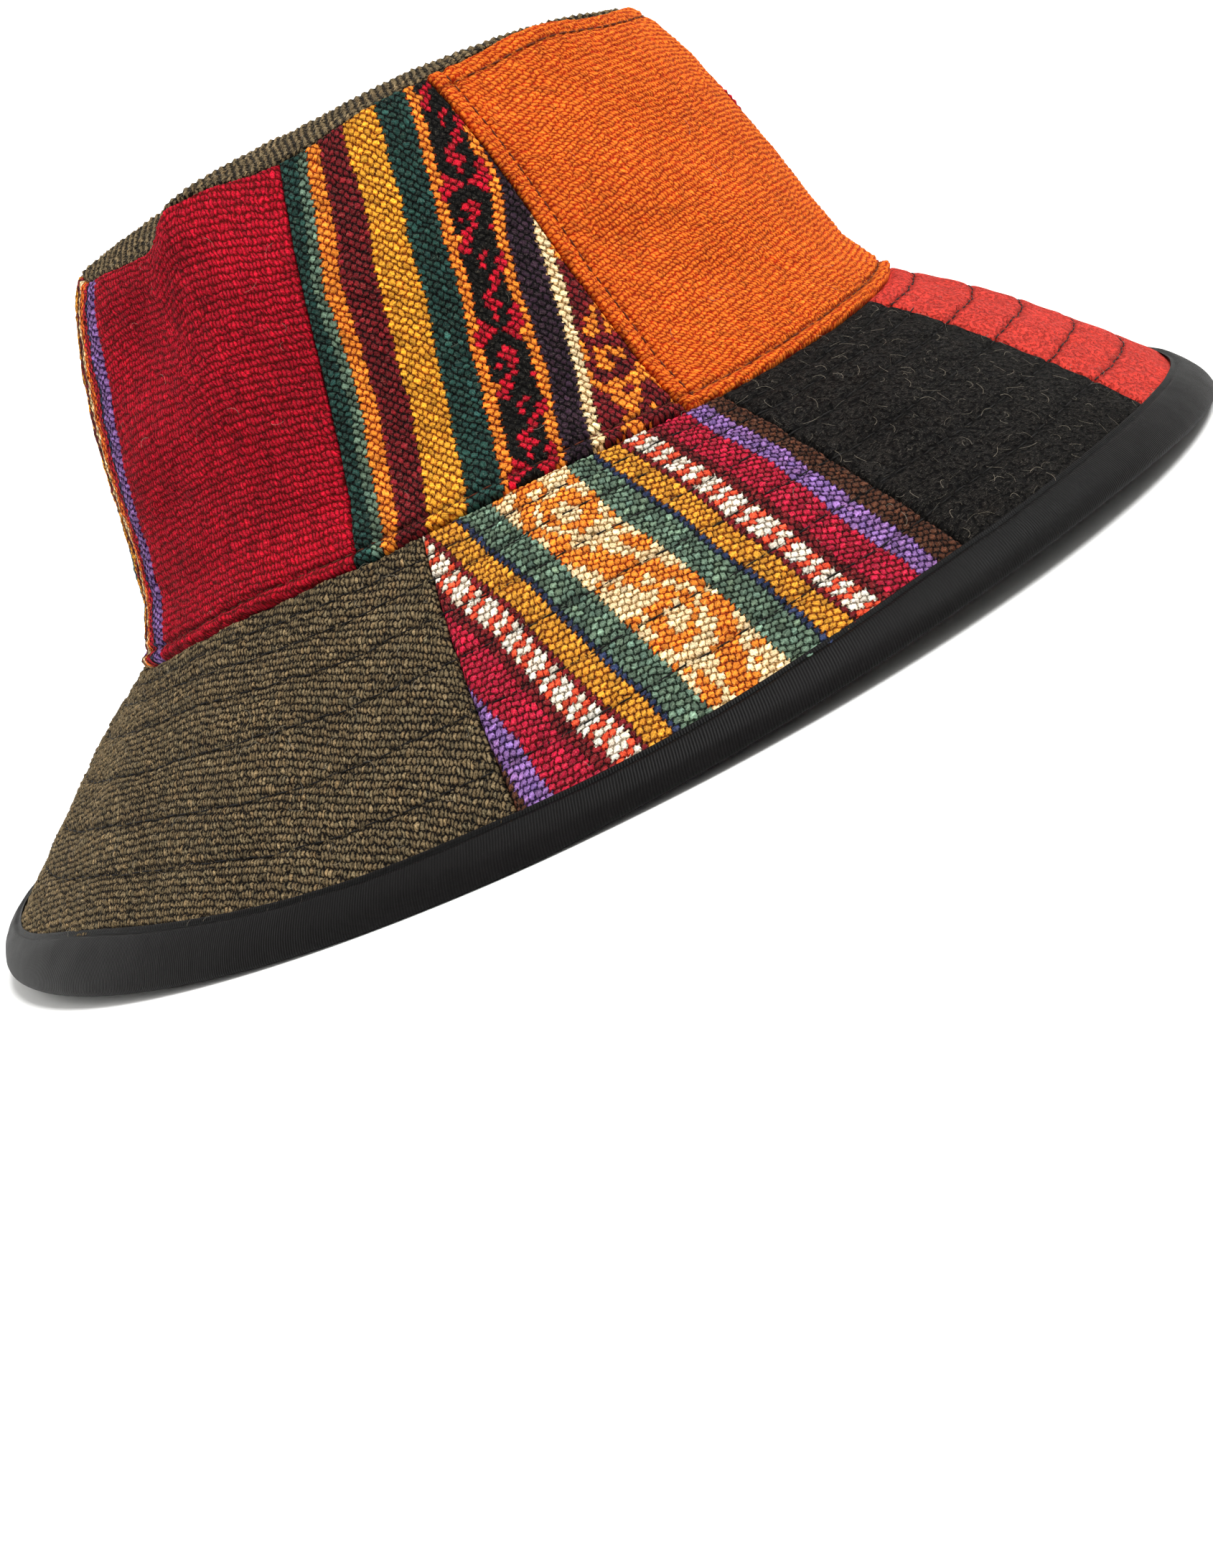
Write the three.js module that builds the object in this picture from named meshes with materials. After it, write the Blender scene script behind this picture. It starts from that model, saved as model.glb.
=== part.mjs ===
// A patchwork bucket hat of hand-woven cloth: a domed oval tip, a ring of crown panels, a sloping ring of
// quilted brim panels and a tape bound round the rim.
// Millimetres, +Z up, the wearer faces -Y, and the rim rests on z = 0.
// An angle is in degrees from the front (-Y), turning towards the wearer's right (-X).
import * as THREE from "three";
import { mergeVertices } from "three/addons/utils/BufferGeometryUtils.js";

// The oval where crown and brim are sewn together, and the oval of the rim
const SEAM = { halfLength: 102.4, halfWidth: 88.8 };
const RIM = { halfLength: 163.4, halfWidth: 151.4 };
// The crown sits forward of the rim's middle, as the brim is longest at the back
const CROWN_FORWARD = 2.5;
const TOP_HEIGHT = 141.5;
// The oval narrows a little less across its width than along its length
const WIDTH_SHARE_OF_TAPER = 0.86;
// The tip is a low dome whose crest lies behind its middle
const TIP = { rise: 6, roundness: 2.2, crestBack: 12 };
const WALL = 2.2;
const GAP = 0.3;
const COLUMN_DEGREES = 5;

// Half section of the crown: how far the wall has moved in from the seam at each share of the crown's height
const CROWN_SECTION = [
  { up: 0, inward: 0 },
  { up: 0.03, inward: 1.5 },
  { up: 0.15, inward: 7 },
  { up: 0.3, inward: 10.4 },
  { up: 0.47, inward: 13.5 },
  { up: 0.62, inward: 16.6 },
  { up: 0.78, inward: 20.8 },
  { up: 0.92, inward: 26 },
  { up: 1, inward: 30.5 },
];

// Height of the seam, of the soft top edge above or below its mean, and of the rim above the resting surface
const SEAM_EDGE = [
  { angle: 0, height: 57 },
  { angle: 55, height: 56 },
  { angle: 92, height: 59 },
  { angle: 122, height: 58.5 },
  { angle: 180, height: 51.5 },
  { angle: 238, height: 57.5 },
  { angle: 360, height: 57 },
];
const TOP_EDGE = [
  { angle: 0, height: -3 },
  { angle: 22, height: -2.5 },
  { angle: 59, height: 1.5 },
  { angle: 80, height: 1 },
  { angle: 103, height: -0.8 },
  { angle: 124, height: 2 },
  { angle: 136, height: -4.5 },
  { angle: 158, height: -3.5 },
  { angle: 185, height: 0 },
  { angle: 235, height: 1.5 },
  { angle: 280, height: -1 },
  { angle: 325, height: 1 },
  { angle: 360, height: -3 },
];
const RIM_EDGE = [
  { angle: 0, height: 0 },
  { angle: 50, height: 5 },
  { angle: 105, height: 0 },
  { angle: 180, height: 5 },
  { angle: 255, height: 0 },
  { angle: 310, height: 5 },
  { angle: 360, height: 0 },
];
// The rim is flat over this much of each dip, where it rests
const RIM_FLATTENING = 0.15;

// Soft dents of the crown, with their half sizes and depth; a negative depth stands out
const DENTS = [
  { angle: 143, up: 0.76, halfAngle: 12, halfUp: 0.17, depth: 5.5 },
  { angle: 125, up: 0.95, halfAngle: 7, halfUp: 0.1, depth: -2 },
  { angle: 134, up: 0.38, halfAngle: 12, halfUp: 0.14, depth: 1.6 },
  { angle: 92, up: 0.4, halfAngle: 15, halfUp: 0.25, depth: 1.5 },
  { angle: 60, up: 0.43, halfAngle: 9, halfUp: 0.07, depth: 1.8 },
  { angle: 46, up: 0.24, halfAngle: 11, halfUp: 0.07, depth: 2 },
  { angle: 30, up: 0.62, halfAngle: 14, halfUp: 0.16, depth: 1.5 },
  { angle: 222, up: 0.55, halfAngle: 14, halfUp: 0.22, depth: 3 },
  { angle: 300, up: 0.45, halfAngle: 16, halfUp: 0.2, depth: 2.5 },
];
// Dents fade out over this share of the crown's height above the seam
const DENT_FADE = 0.12;

// The brim droops towards its edge: rise of its middle above a straight slope, most at the front
const BRIM_BULGE = { mean: 2.2, frontExtra: 0.8 };
const BRIM_ROWS = 6;
// The brim's cloth ends inside the binding, at this share of the slope
const BRIM_CLOTH_END = 0.955;

// The rim's tape is folded over the brim's edge
const BINDING = {
  legStart: 0.835,
  legEnd: 0.962,
  thickness: 0.8,
  grooveGap: 0.4,
  flatWidth: 3.6,
  columns: 72,
};

const CLOTHS = {
  crimson: { color: 0xa3122b, roughness: 0.95 },
  orange: { color: 0xe0661a, roughness: 0.95 },
  olive: { color: 0x4a4334, roughness: 0.95 },
  black: { color: 0x1d1c1a, roughness: 1 },
  coral: { color: 0xcf3b35, roughness: 1 },
  mustard: { color: 0xc8941c, roughness: 0.9 },
  purple: { color: 0x6f4797, roughness: 0.9 },
  green: { color: 0x47664f, roughness: 0.9 },
  tape: { color: 0x26272a, roughness: 0.55 },
};

// Each panel runs from its own border to the next row's; a border has an angle at each of its two ends
const CROWN_PANELS = [
  { name: "crown_orange", cloth: "orange", top: 4, bottom: 4 },
  { name: "crown_striped", cloth: "mustard", top: 73.5, bottom: 68 },
  { name: "crown_crimson", cloth: "crimson", top: 103, bottom: 113 },
  { name: "crown_back_striped", cloth: "purple", top: 158, bottom: 155 },
  { name: "crown_rear_left", cloth: "coral", top: 204, bottom: 204 },
  { name: "crown_left", cloth: "orange", top: 244, bottom: 244 },
  { name: "crown_front_left", cloth: "black", top: 284, bottom: 284 },
  { name: "crown_front", cloth: "crimson", top: 324, bottom: 324 },
];
const BRIM_PANELS = [
  { name: "brim_coral", cloth: "coral", top: -16, bottom: -16 },
  { name: "brim_black", cloth: "black", top: 31, bottom: 33 },
  { name: "brim_striped", cloth: "green", top: 63, bottom: 60.5 },
  { name: "brim_olive", cloth: "olive", top: 103.5, bottom: 99.5 },
  { name: "brim_rear_left", cloth: "black", top: 190, bottom: 190 },
  { name: "brim_left", cloth: "crimson", top: 240, bottom: 240 },
  { name: "brim_front_left", cloth: "orange", top: 292, bottom: 292 },
];

// The hat's outer surface is followed along a track, which is 0 at the tip's crest, 1 at the top edge, 2 at the
// seam and 3 at the rim
const TOP_EDGE_TRACK = 1;
const SEAM_TRACK = 2;
const RIM_TRACK = 3;
// Length of the track from each of these places to the next, near enough for a gap or a small step
const TRACK_LENGTH = { tip: 66, crown: 90, brim: 78 };

const straight = (share) => share;
const eased = (share) => (1 - Math.cos(Math.PI * share)) / 2;
const wrapAngle = (angle) => ((angle % 360) + 360) % 360;

// Reads a table's column at a place between two of its rows
function readTable(rows, placeName, valueName, place, shape) {
  const after = Math.max(1, rows.findIndex((row) => row[placeName] >= place));
  const low = rows[after - 1];
  const high = rows[after];
  const share = (place - low[placeName]) / (high[placeName] - low[placeName]);
  return THREE.MathUtils.lerp(low[valueName], high[valueName], shape(share));
}

const readEdge = (rows, angle) => readTable(rows, "angle", "height", wrapAngle(angle), eased);

function ovalPoint(angle, halfLength, halfWidth, height) {
  const turn = THREE.MathUtils.degToRad(angle);
  return new THREE.Vector3(-halfWidth * Math.sin(turn), -halfLength * Math.cos(turn), height);
}

function dentDepth(angle, up) {
  const fade = eased(Math.min(up / DENT_FADE, 1));
  return DENTS.reduce((sum, dent) => {
    const across = (wrapAngle(angle - dent.angle + 180) - 180) / dent.halfAngle;
    const along = (up - dent.up) / dent.halfUp;
    return sum + fade * dent.depth * Math.exp(-across * across - along * along);
  }, 0);
}

function crownPoint(angle, up) {
  const inward = readTable(CROWN_SECTION, "up", "inward", up, straight);
  const dent = dentDepth(angle, up);
  const height = THREE.MathUtils.lerp(readEdge(SEAM_EDGE, angle), TOP_HEIGHT, up);
  const point = ovalPoint(
    angle,
    SEAM.halfLength - inward - dent,
    SEAM.halfWidth - inward * WIDTH_SHARE_OF_TAPER - dent,
    height + readEdge(TOP_EDGE, angle) * up * up,
  );
  return point.setY(point.y - CROWN_FORWARD);
}

// share is 0 at the tip's crest and 1 at its edge
function tipPoint(angle, share) {
  const edge = crownPoint(angle, 1);
  const dome = TIP.rise * (1 - share ** TIP.roundness);
  const crest = new THREE.Vector3(0, TIP.crestBack - CROWN_FORWARD, 0);
  const point = crest.lerp(edge, share);
  return point.setZ(THREE.MathUtils.lerp(TOP_HEIGHT, edge.z, share * share) + dome);
}

function rimPoint(angle) {
  const height = Math.max(0, readEdge(RIM_EDGE, angle) - RIM_FLATTENING);
  return ovalPoint(angle, RIM.halfLength, RIM.halfWidth, height);
}

// out is 0 at the seam and 1 at the rim
function brimPoint(angle, out) {
  const seam = crownPoint(angle, 0);
  const rim = rimPoint(angle);
  const slope = rim.clone().sub(seam);
  const outward = new THREE.Vector3(slope.x, slope.y, 0);
  const run = outward.length();
  const above = outward.normalize().multiplyScalar(-slope.z).setZ(run).normalize();
  const frontness = Math.cos(THREE.MathUtils.degToRad(angle));
  const bulge = (BRIM_BULGE.mean + BRIM_BULGE.frontExtra * frontness) * 4 * out * (1 - out);
  return seam.addScaledVector(slope, out).addScaledVector(above, bulge);
}

function hatPoint(angle, track) {
  if (track <= TOP_EDGE_TRACK) return tipPoint(angle, track);
  if (track <= SEAM_TRACK) return crownPoint(angle, SEAM_TRACK - track);
  return brimPoint(angle, track - SEAM_TRACK);
}

// The outward direction; at the top edge and at the seam it is midway between the two walls
function hatNormal(angle, track) {
  const trackStep = 0.012;
  const angleStep = 1;
  if (track < trackStep) return new THREE.Vector3(0, 0, 1);
  const above = hatPoint(angle, track - trackStep);
  const along = hatPoint(angle, Math.min(RIM_TRACK, track + trackStep)).sub(above);
  const before = hatPoint(angle - angleStep, track);
  const around = hatPoint(angle + angleStep, track).sub(before);
  return around.cross(along).normalize();
}

// A point at a depth under the outer surface; shift moves it along the surface, to leave a gap at a cut edge
function clothPoint(angle, track, depth, shift = { angle: 0, track: 0 }) {
  const outer = hatPoint(angle + shift.angle, track + shift.track);
  return outer.addScaledVector(hatNormal(angle, track), -depth);
}

// Skins a row of closed section loops into a solid; without wrap, strips close the two end sections
function skin(loops, { wrap, openAtCentre = false }) {
  const count = loops[0].length;
  const half = count / 2;
  const faces = [];
  const at = (loop, point) => (loop % loops.length) * count + (point % count);
  const quad = (a, b, c, d) => faces.push([a, b, c], [a, c, d]);
  const spans = wrap ? loops.length : loops.length - 1;
  for (let i = 0; i < spans; i++)
    for (let j = 0; j < (openAtCentre ? count - 1 : count); j++)
      quad(at(i, j), at(i + 1, j), at(i + 1, j + 1), at(i, j + 1));
  if (!wrap)
    for (let j = 0; j < half - 1; j++) {
      const last = loops.length - 1;
      quad(at(0, j), at(0, j + 1), at(0, count - 2 - j), at(0, count - 1 - j));
      quad(at(last, j), at(last, count - 1 - j), at(last, count - 2 - j), at(last, j + 1));
    }
  const positions = loops.flat().flatMap((point) => point.toArray());
  const geometry = new THREE.BufferGeometry();
  geometry.setAttribute("position", new THREE.Float32BufferAttribute(positions, 3));
  geometry.setIndex(faces.flat());
  const welded = mergeVertices(geometry);
  const corners = [...welded.index.array];
  const kept = faces
    .map((face, i) => corners.slice(3 * i, 3 * i + 3))
    .filter(([a, b, c]) => a !== b && b !== c && c !== a);
  welded.setIndex(kept.flat());
  welded.computeVertexNormals();
  return welded;
}

function clothMaterial(cloth) {
  return new THREE.MeshStandardMaterial({ ...CLOTHS[cloth], metalness: 0, flatShading: true });
}

function pieceOf(name, cloth, geometry) {
  const mesh = new THREE.Mesh(geometry, clothMaterial(cloth));
  mesh.name = name;
  return mesh;
}

// Track places of a ring of panels, from its top to its bottom
function panelTracks(ring) {
  if (ring === "crown")
    return CROWN_SECTION.map((row) => SEAM_TRACK - row.up).reverse();
  const rowStep = BRIM_CLOTH_END / BRIM_ROWS;
  return Array.from({ length: BRIM_ROWS + 1 }, (_, i) => SEAM_TRACK + rowStep * i);
}

function columnShares(panel, next) {
  const widest = Math.max(next.top - panel.top, next.bottom - panel.bottom);
  const count = Math.ceil(widest / COLUMN_DEGREES);
  return Array.from({ length: count + 1 }, (_, i) => i / count);
}

// The angle of a panel's column at a track place: its two borders are straight lines on the cloth
function columnAngle(panel, next, share, alongShare) {
  const start = THREE.MathUtils.lerp(panel.top, panel.bottom, alongShare);
  const end = THREE.MathUtils.lerp(next.top, next.bottom, alongShare);
  return THREE.MathUtils.lerp(start, end, share);
}

function panelGeometry(ring, panel, next) {
  const tracks = panelTracks(ring);
  const shares = columnShares(panel, next);
  const first = tracks[0];
  const last = tracks.at(-1);
  const halfGapTrack = GAP / 2 / TRACK_LENGTH[ring];
  const loops = shares.map((share) => {
    const column = (depth) =>
      tracks.map((track) => {
        const angle = columnAngle(panel, next, share, (track - first) / (last - first));
        const radius = Math.hypot(...hatPoint(angle, track).toArray().slice(0, 2));
        const halfGapAngle = THREE.MathUtils.radToDeg(GAP / 2 / radius);
        const shift = {
          angle: share === 0 ? halfGapAngle : share === 1 ? -halfGapAngle : 0,
          track: track === first ? halfGapTrack : track === SEAM_TRACK ? -halfGapTrack : 0,
        };
        return clothPoint(angle, track, depth, shift);
      });
    return [...column(0), ...column(WALL).reverse()];
  });
  return skin(loops, { wrap: false });
}

const nextOf = (panels, i) => {
  if (i + 1 < panels.length) return panels[i + 1];
  return { top: panels[0].top + 360, bottom: panels[0].bottom + 360 };
};

// The tip has its columns where the crown panels have theirs, so the two edges keep their gap
function tipGeometry() {
  const angles = CROWN_PANELS.flatMap((panel, i) => {
    const next = nextOf(CROWN_PANELS, i);
    return columnShares(panel, next)
      .slice(0, -1)
      .map((share) => columnAngle(panel, next, share, 0));
  });
  const tracks = [0, 0.35, 0.62, 0.82, 0.94, TOP_EDGE_TRACK];
  const halfGapTrack = GAP / 2 / TRACK_LENGTH.tip;
  const loops = angles.map((angle) => {
    const column = (depth) =>
      tracks.map((track) => {
        const shift = { angle: 0, track: track === TOP_EDGE_TRACK ? -halfGapTrack : 0 };
        return clothPoint(angle, track, depth, shift);
      });
    return [...column(0), ...column(WALL).reverse()];
  });
  return skin(loops, { wrap: true, openAtCentre: true });
}

// A folded tape's section: outer leg, flat fold that rests on the surface, inner leg and the groove
function bindingGeometry() {
  const { legStart, legEnd, thickness, grooveGap, flatWidth, columns } = BINDING;
  const proud = grooveGap + thickness;
  const loops = Array.from({ length: columns }, (_, i) => {
    const angle = (360 * i) / columns;
    const start = SEAM_TRACK + legStart;
    const end = SEAM_TRACK + legEnd;
    const rim = hatPoint(angle, RIM_TRACK);
    const inner = rim.clone().multiplyScalar(1 - flatWidth / Math.hypot(rim.x, rim.y)).setZ(rim.z);
    return [
      clothPoint(angle, start, -proud),
      clothPoint(angle, end, -proud),
      rim,
      inner,
      clothPoint(angle, end, WALL + proud),
      clothPoint(angle, start, WALL + proud),
      clothPoint(angle, start, WALL + grooveGap),
      clothPoint(angle, end, WALL + grooveGap),
      clothPoint(angle, end, -grooveGap),
      clothPoint(angle, start, -grooveGap),
    ];
  });
  return skin(loops, { wrap: true });
}

const hat = new THREE.Group();
hat.add(pieceOf("crown_tip", "olive", tipGeometry()));
CROWN_PANELS.forEach((panel, i) => {
  const geometry = panelGeometry("crown", panel, nextOf(CROWN_PANELS, i));
  hat.add(pieceOf(panel.name, panel.cloth, geometry));
});
BRIM_PANELS.forEach((panel, i) => {
  const geometry = panelGeometry("brim", panel, nextOf(BRIM_PANELS, i));
  hat.add(pieceOf(panel.name, panel.cloth, geometry));
});
hat.add(pieceOf("brim_binding", "tape", bindingGeometry()));

export default hat;
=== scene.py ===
# A patchwork bucket hat of hand-woven cloth: a domed tip, a ring of crown panels, a ring of quilted brim
# panels and a tape bound round the rim.
# The hat's form is worked out in millimetres, and a mesh is in metres. An angle is in degrees from the front
# (-Y), turning towards the wearer's right (-X).
import math
from dataclasses import dataclass, field, replace

import bpy
import numpy as np
from bpy.props import FloatProperty, FloatVectorProperty, IntProperty, PointerProperty
from mathutils import Matrix, Vector


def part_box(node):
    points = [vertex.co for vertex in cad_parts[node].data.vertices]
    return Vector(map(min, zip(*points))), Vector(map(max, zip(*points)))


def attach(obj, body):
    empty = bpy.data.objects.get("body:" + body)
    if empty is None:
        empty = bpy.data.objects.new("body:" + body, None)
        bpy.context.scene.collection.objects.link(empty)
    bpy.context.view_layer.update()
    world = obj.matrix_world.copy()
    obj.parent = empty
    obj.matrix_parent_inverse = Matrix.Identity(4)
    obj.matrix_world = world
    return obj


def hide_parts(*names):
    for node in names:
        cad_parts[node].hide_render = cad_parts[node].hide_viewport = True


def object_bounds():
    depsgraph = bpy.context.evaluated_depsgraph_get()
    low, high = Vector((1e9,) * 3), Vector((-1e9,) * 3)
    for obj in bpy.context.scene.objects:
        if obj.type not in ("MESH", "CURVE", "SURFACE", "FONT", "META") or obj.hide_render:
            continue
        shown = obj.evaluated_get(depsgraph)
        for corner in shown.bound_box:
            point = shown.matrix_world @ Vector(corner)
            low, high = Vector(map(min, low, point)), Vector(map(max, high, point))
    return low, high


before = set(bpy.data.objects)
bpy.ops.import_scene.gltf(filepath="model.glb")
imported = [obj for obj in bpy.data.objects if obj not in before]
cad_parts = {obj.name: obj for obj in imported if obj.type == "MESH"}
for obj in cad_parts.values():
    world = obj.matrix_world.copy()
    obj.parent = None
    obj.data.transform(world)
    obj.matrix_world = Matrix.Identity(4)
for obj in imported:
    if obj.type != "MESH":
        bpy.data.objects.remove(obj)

bl_info = {
    "name": "Patchwork bucket hat",
    "version": (1, 0, 0),
    "blender": (4, 5, 0),
    "location": "3D View > Sidebar > Hat",
    "description": "Sews a patchwork bucket hat of hand-woven cloth round its packed model",
    "category": "Add Mesh",
}

MM = 0.001
CAD_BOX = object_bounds()
BODY = "root"

# The oval where crown and brim are sewn together, and the oval of the rim, which is the bound edge's own
BOUND_LOW, BOUND_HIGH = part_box("brim_binding")
SEAM_HALF_LENGTH = 102.4
SEAM_HALF_WIDTH = 88.8
RIM_HALF_LENGTH = (BOUND_HIGH[1] - BOUND_LOW[1]) / 2 / MM
RIM_HALF_WIDTH = (BOUND_HIGH[0] - BOUND_LOW[0]) / 2 / MM
CROWN_FORWARD = 2.5
TOP_HEIGHT = 141.5
WIDTH_SHARE_OF_TAPER = 0.86
TIP_RISE = 6.0
TIP_ROUNDNESS = 2.2
TIP_CREST_BACK = 12.0
WALL = 2.2

# Half section of the crown: share of its height, and how far the wall has moved in from the seam
CROWN_SECTION = (
    (0, 0), (0.03, 1.5), (0.15, 7), (0.3, 10.4), (0.47, 13.5), (0.62, 16.6), (0.78, 20.8), (0.92, 26),
    (1, 30.5),
)
# Angle and height of the seam, of the soft top edge against its mean, and of the rim above the floor
SEAM_EDGE = ((0, 57), (55, 56), (92, 59), (122, 58.5), (180, 51.5), (238, 57.5), (360, 57))
TOP_EDGE = (
    (0, -3), (22, -2.5), (59, 1.5), (80, 1), (103, -0.8), (124, 2), (136, -4.5), (158, -3.5), (185, 0),
    (235, 1.5), (280, -1), (325, 1), (360, -3),
)
RIM_EDGE = ((0, 0), (50, 5), (105, 0), (180, 5), (255, 0), (310, 5), (360, 0))
# The rim is flat over this much of each dip, where it rests
RIM_FLATTENING = 0.15
# Angle and how far out the tape's upper edge runs, as a share of the brim's slope
TAPE_EDGE = (
    (0, 0.845), (30, 0.84), (60, 0.85), (88, 0.868), (108, 0.86), (146, 0.815), (168, 0.86), (260, 0.84),
    (360, 0.845),
)
# Angle and how far short of the rim the tape's fold stays, as a share of the brim's slope
TAPE_FOLD = ((0, 0), (25, 0.005), (50, 0.01), (90, 0.01), (104, 0), (360, 0))
# Where the tape's legs end, as a share of the slope, and how wide its fold is at the rim, in mm
TAPE_LEG_END = 0.962
TAPE_FOLD_WIDTH = 3.6
# How far the tape stands off the cloth outside and inside, and where its cloth side runs, in mm
TAPE_PROUD = 1.45
TAPE_UNDER = 1.2
TAPE_CLEARANCE = 0.4
# The outer leg from its sewn edge on: how far out and how proud, each with the share of the easing it takes
TAPE_OUTER_LEG = (
    (0, 0, -0.55, 0.2),
    (0.018, 0.003, -0.75, 0),
    (0.022, 0.003, 0.2, 0.2),
    (0.03, 0, 0.45, 0.3),
    (0.075, 0, 0.6, 0.3),
)
MEAN_TAPE_RADIUS = 150
# Soft dents of the crown: angle, share of its height, half sizes of both, and depth
DENTS = (
    (143, 0.76, 12, 0.17, 5.5),
    (125, 0.95, 7, 0.1, -2),
    (134, 0.38, 12, 0.14, 1.6),
    (92, 0.4, 15, 0.25, 1.5),
    (60, 0.43, 9, 0.07, 1.8),
    (46, 0.24, 11, 0.07, 2),
    (30, 0.62, 14, 0.16, 1.5),
    (222, 0.55, 14, 0.22, 3),
    (300, 0.45, 16, 0.2, 2.5),
)
DENT_FADE = 0.12
# Rise of the brim's middle above a straight slope, most at the front
BRIM_BULGE = 2.2
BRIM_FRONT_BULGE = 0.8

# The outer surface is followed along a track: 0 at the tip's crest, 1 at the top edge, 2 at the seam and 3 at
# the rim
TOP_EDGE_TRACK = 1.0
SEAM_TRACK = 2.0
RIM_TRACK = 3.0
RING_ENDS = {"tip": (0.0, 1.0), "crown": (1.0, 2.0), "brim": (2.0, 2.955)}
TRACK_LENGTH = {"tip": 66.0, "crown": 90.0, "brim": 78.0}
MEAN_RADIUS = {"tip": 40.0, "crown": 82.0, "brim": 125.0}

# Quilting rows of the brim: how far out each runs, as a share of the slope, then how they drift with the
# angle and how far they wander
QUILT_ROWS = (0.07, 0.145, 0.255, 0.4, 0.56, 0.715)
QUILT_DRIFT = (
    (0, -0.01), (25, -0.02), (60, 0), (110, 0.015), (145, -0.05), (200, 0), (300, 0.01), (360, -0.01),
)
QUILT_WANDER = 0.005
QUILT_PUFF = 0.25
QUILT_PUFF_REACH = 5
QUILT_VALLEY = 0.4
QUILT_VALLEY_WIDTH = 0.7
# The second row stops at both ends of the front panel
SHORT_ROW = 1
SHORT_ROW_START = 31
SHORT_ROW_END = 344
# Topstitching of the crown, in from the seam and from the top edge
SEAM_STITCH_INSET = 3.2
TOP_STITCH_INSET = 4.0
LAP_STITCH_INSET = 3.4
# Angles between which the top edge is topstitched too
TOP_STITCHED = (4.0, 73.5)
# The groove and the puffed hem of the crown's topstitching, in mm
GROOVE_DEPTH = 0.85
GROOVE_WIDTH = 0.75
HEM_HEIGHT = 0.8
HEM_ROUNDNESS = 0.7
# How far from a line of stitches the painted shade of its groove still reaches
GROOVE_SHADE_REACH = 0.6
# A thread drawn tight in the orange cloth: track and angle, then its half width in mm
PULLED_THREAD = ((1.1, 38), (1.25, 33), (1.41, 26.5), (1.5, 24.8), (1.67, 24.5), (1.8, 21))
PULLED_WIDTH = 0.28
PULLED_MM_PER_DEGREE = 1.4
# Farther than any distance on the hat, in mm
FAR = 1e3
# Taken off a number of points, this stays within the last cell between them
LAST_CELL = 1.001


def eased(share):
    return (1 - np.cos(np.pi * share)) / 2


def smooth_step(value, low, high):
    share = np.clip((value - low) / (high - low), 0, 1)
    return share * share * (3 - 2 * share)


def read_edge(rows, angle):
    places, heights = np.array(rows, dtype=float).T
    turned = np.mod(angle, 360.0)
    after = np.clip(np.searchsorted(places, turned), 1, len(places) - 1)
    share = (turned - places[after - 1]) / (places[after] - places[after - 1])
    return heights[after - 1] + (heights[after] - heights[after - 1]) * eased(share)


def oval_point(angle, half_length, half_width, height):
    turn = np.radians(angle)
    return np.stack([-half_width * np.sin(turn), -half_length * np.cos(turn), height + 0 * turn], axis=-1)


def dent_depth(angle, up):
    total = 0 * up
    for place, height, half_angle, half_up, depth in DENTS:
        across = (np.mod(angle - place + 180, 360) - 180) / half_angle
        along = (up - height) / half_up
        total = total + depth * np.exp(-across * across - along * along)
    return total * eased(np.minimum(up / DENT_FADE, 1))


def crown_point(angle, up, dented=True):
    section_up, section_inward = zip(*CROWN_SECTION)
    inward = np.interp(up, section_up, section_inward)
    dent = dent_depth(angle, up) if dented else 0
    seam = read_edge(SEAM_EDGE, angle)
    height = seam + (TOP_HEIGHT - seam) * up + read_edge(TOP_EDGE, angle) * up * up
    half_length = SEAM_HALF_LENGTH - inward - dent
    half_width = SEAM_HALF_WIDTH - inward * WIDTH_SHARE_OF_TAPER - dent
    return oval_point(angle, half_length, half_width, height) - (0, CROWN_FORWARD, 0)


def tip_point(angle, share, dented=True):
    edge = crown_point(angle, 1 + 0 * angle, dented)
    crest = np.array([0, TIP_CREST_BACK - CROWN_FORWARD, 0])
    point = crest + (edge - crest) * share[..., None]
    dome = TIP_RISE * (1 - share**TIP_ROUNDNESS)
    point[..., 2] = TOP_HEIGHT + (edge[..., 2] - TOP_HEIGHT) * share * share + dome
    return point


def brim_point(angle, out, dented=True):
    seam = crown_point(angle, 0 * angle, dented)
    rim_height = np.maximum(0, read_edge(RIM_EDGE, angle) - RIM_FLATTENING)
    slope = oval_point(angle, RIM_HALF_LENGTH, RIM_HALF_WIDTH, rim_height) - seam
    run = np.hypot(slope[..., 0], slope[..., 1])
    above_x = -slope[..., 2] * slope[..., 0] / run
    above_y = -slope[..., 2] * slope[..., 1] / run
    above = np.stack([above_x, above_y, run], axis=-1)
    above /= np.linalg.norm(above, axis=-1, keepdims=True)
    bulge = (BRIM_BULGE + BRIM_FRONT_BULGE * np.cos(np.radians(angle))) * 4 * out * (1 - out)
    return seam + slope * out[..., None] + above * bulge[..., None]


def hat_point(angle, track, dented=True):
    angle, track = np.broadcast_arrays(np.asarray(angle, dtype=float), np.asarray(track, dtype=float))
    point = np.empty(angle.shape + (3,))
    on_tip = track <= TOP_EDGE_TRACK
    on_brim = track > SEAM_TRACK
    on_crown = ~on_tip & ~on_brim
    point[on_tip] = tip_point(angle[on_tip], track[on_tip], dented)
    point[on_crown] = crown_point(angle[on_crown], SEAM_TRACK - track[on_crown], dented)
    point[on_brim] = brim_point(angle[on_brim], track[on_brim] - SEAM_TRACK, dented)
    return point


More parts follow.
